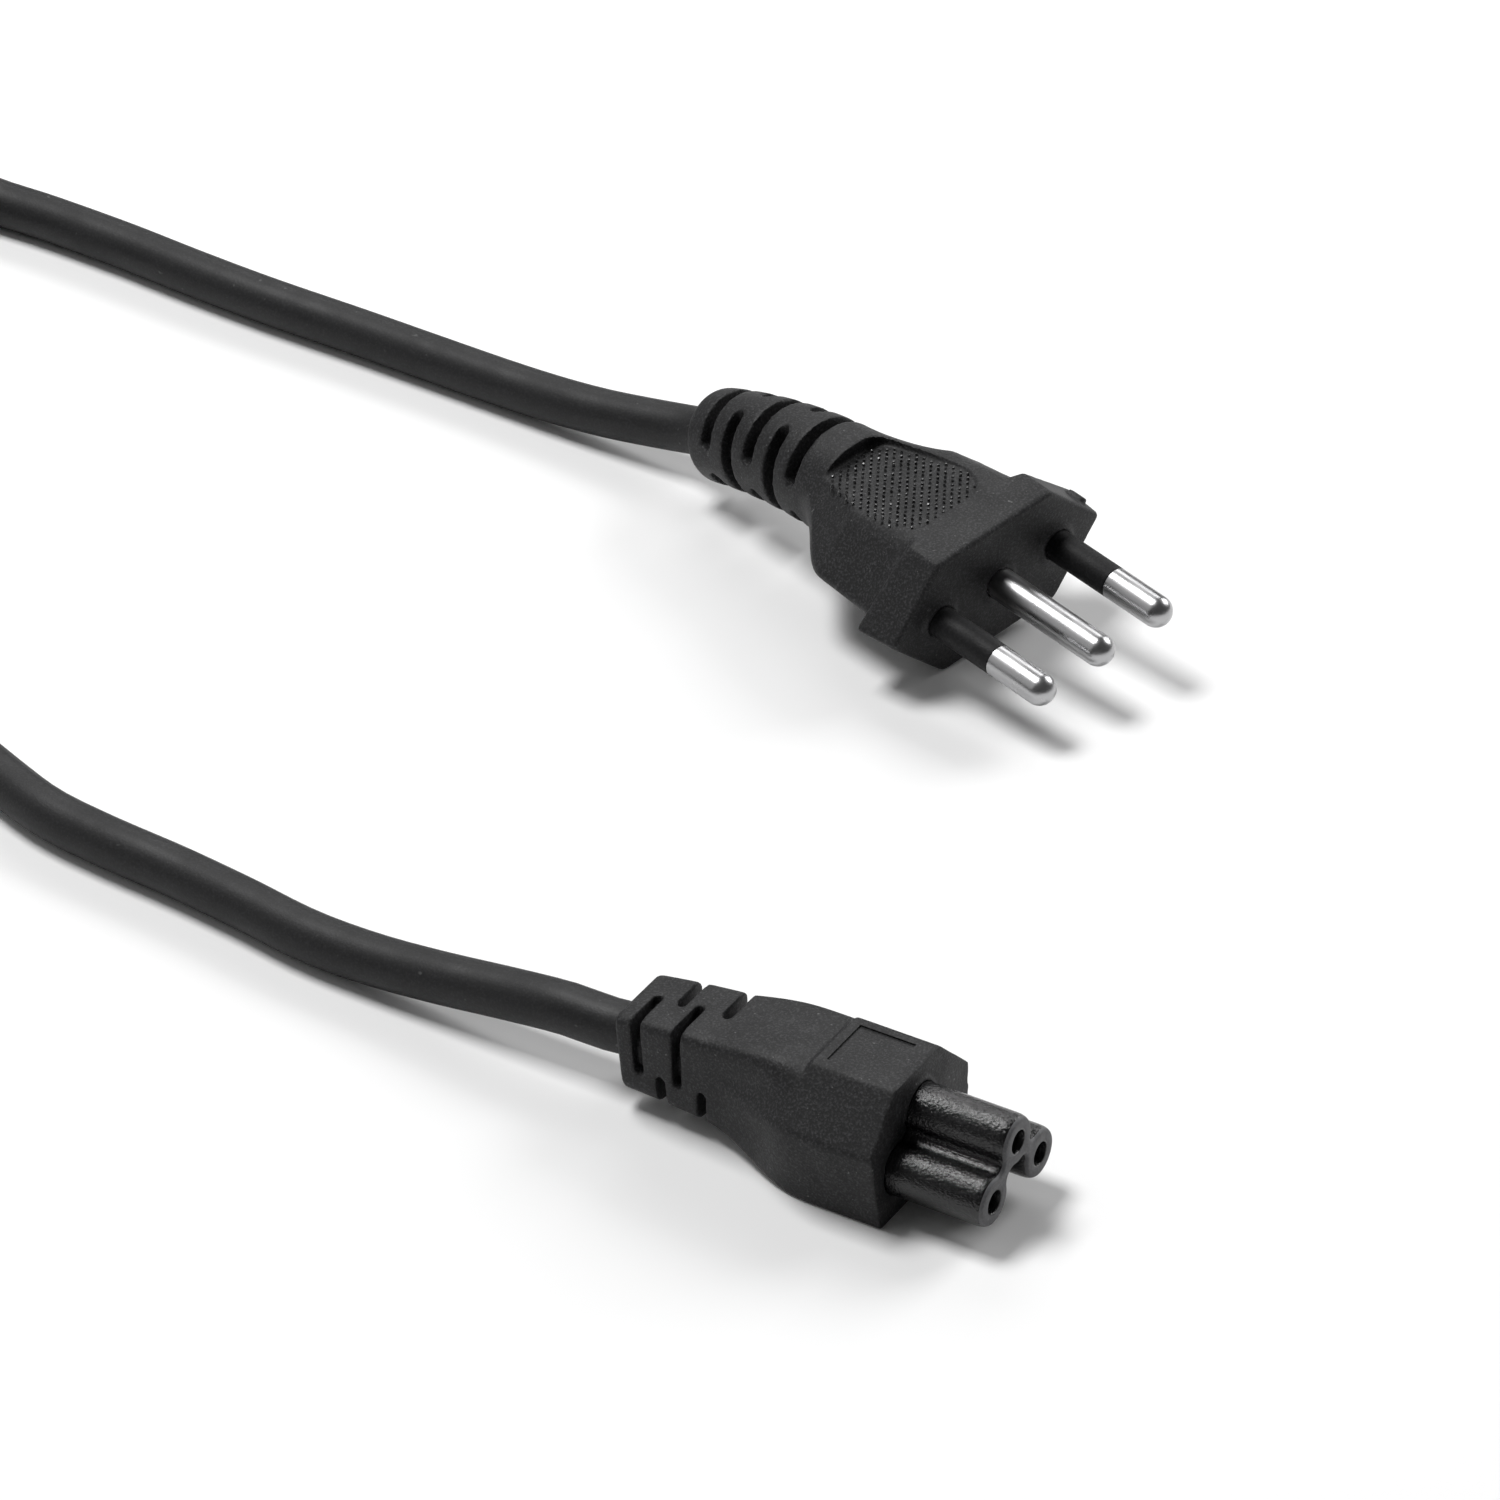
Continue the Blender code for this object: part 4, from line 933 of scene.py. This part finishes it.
def makeTie(material):
    half, low, high, thick = tie["half"], tie["low"], tie["high"], tie["thickness"]
    inside = easedOutline([(-half, low), (half, low), (half, high), (-half, high)], tie["corner"], 12)
    outside = easedOutline([(-half - thick, low - thick), (half + thick, low - thick),
                            (half + thick, high + thick), (-half - thick, high + thick)], tie["corner"], 12)
    centre = Vector((*coil["centre"], 0.0))
    turn = Matrix.Translation(centre) @ Matrix.Rotation(math.radians(coil["tieAngle"]), 4, "Z")
    wide, edge = tie["width"] / 2, tie["edge"]
    middle = coil["radii"][1]
    bm = bmesh.new()
    rings = []
    for outline, along in ((outside, -wide + edge), (outside, wide - edge), (inside, wide), (inside, -wide)):
        rings.append(ring(bm, [turn @ Vector((middle + r, along, z)) for r, z in outline]))
    for near, far in zip(rings, rings[1:] + rings[:1]):
        bmesh.ops.bridge_loops(bm, edges=near + far)
    return finished(rawObject("tie", bm), "coilTie", Matrix(), material, ["coil_tie"], 40)


# Stage and light: a pale floor, softboxes above, behind and on the far right, a card on the left

studio = {
    "floor": 4.0, "middle": (-0.05, 0.06, 0.0), "ambient": 0.08,
    "lights": {  # place and size in metres, and watts
        "softboxAbove": ((-0.6, 0.05, 1.3), (0.6, 0.45), 16.0),
        "cardLeft": ((-1.1, -0.6, 0.85), (1.5, 1.3), 3.2),
        "softboxBehind": ((-0.68, 1.11, 0.86), (0.8, 0.5), 4.8),
        "softboxRight": ((0.45, 1.26, 0.75), (0.7, 0.7), 12.0),
    },
}


def addFloor():
    bm = bmesh.new()
    bmesh.ops.create_grid(bm, x_segments=1, y_segments=1, size=studio["floor"])
    mesh = bpy.data.meshes.new("floor")
    bm.to_mesh(mesh)
    bm.free()
    floor = bpy.data.objects.new("floor", mesh)
    bpy.context.collection.objects.link(floor)
    # matt white card: nearly white, no gloss
    paint = newMaterial("white_card", {"Base Color": linear("#f4f4f4"), "Roughness": 0.9,
                                       "Specular IOR Level": 0.1})[0]
    mesh.materials.append(paint)


def addLight(name, place, size, power):
    data = bpy.data.lights.new(name, "AREA")
    data.shape = "RECTANGLE"
    data.size, data.size_y = size
    data.energy = power
    lamp = bpy.data.objects.new(name, data)
    bpy.context.collection.objects.link(lamp)
    lamp.location = place
    lamp.rotation_euler = (Vector(studio["middle"]) - lamp.location).to_track_quat("-Z", "Y").to_euler()


def addStage():
    addFloor()
    for name, settings in studio["lights"].items():
        addLight(name, *settings)
    world = bpy.data.worlds.new("studio")
    bpy.context.scene.world = world
    world.use_nodes = True
    sky = world.node_tree.nodes["Background"]
    sky.inputs["Color"].default_value = linear("#ffffff")
    sky.inputs["Strength"].default_value = studio["ambient"]
    bpy.context.scene.view_settings.view_transform = "Standard"


def dressContacts():
    # bent brass strip, bare: warm and worn where the pins slide in
    brass = metalMaterial("bent_brass_strip", "#b08d57", (0.28, 0.42), 0.05)
    for pole in ("line", "neutral", "earth"):
        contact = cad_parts["contact_" + pole]
        contact.data.materials.clear()
        contact.data.materials.append(brass)


def main():
    addCamera()
    print("camera set")
    pvc = overmouldMaterial()
    # nickel plate on turned brass: bright and neutral, softly polished
    nickel = metalMaterial("nickel_plated_brass", "#aeaeaf", (0.27, 0.34), 0.02)
    onIt = [makePlug(pvc), makeGripBumps(gripMaterial())] + makePins(nickel, sleeveMaterial())
    onIt.append(makeTie(strapMaterial()))
    makeCord(sheathMaterial())
    makeConnector(pvc)
    makeNose(noseMaterial(), noseFrontPaintedLitMaterial())
    dressContacts()
    print("pieces done")
    addStage()


main()
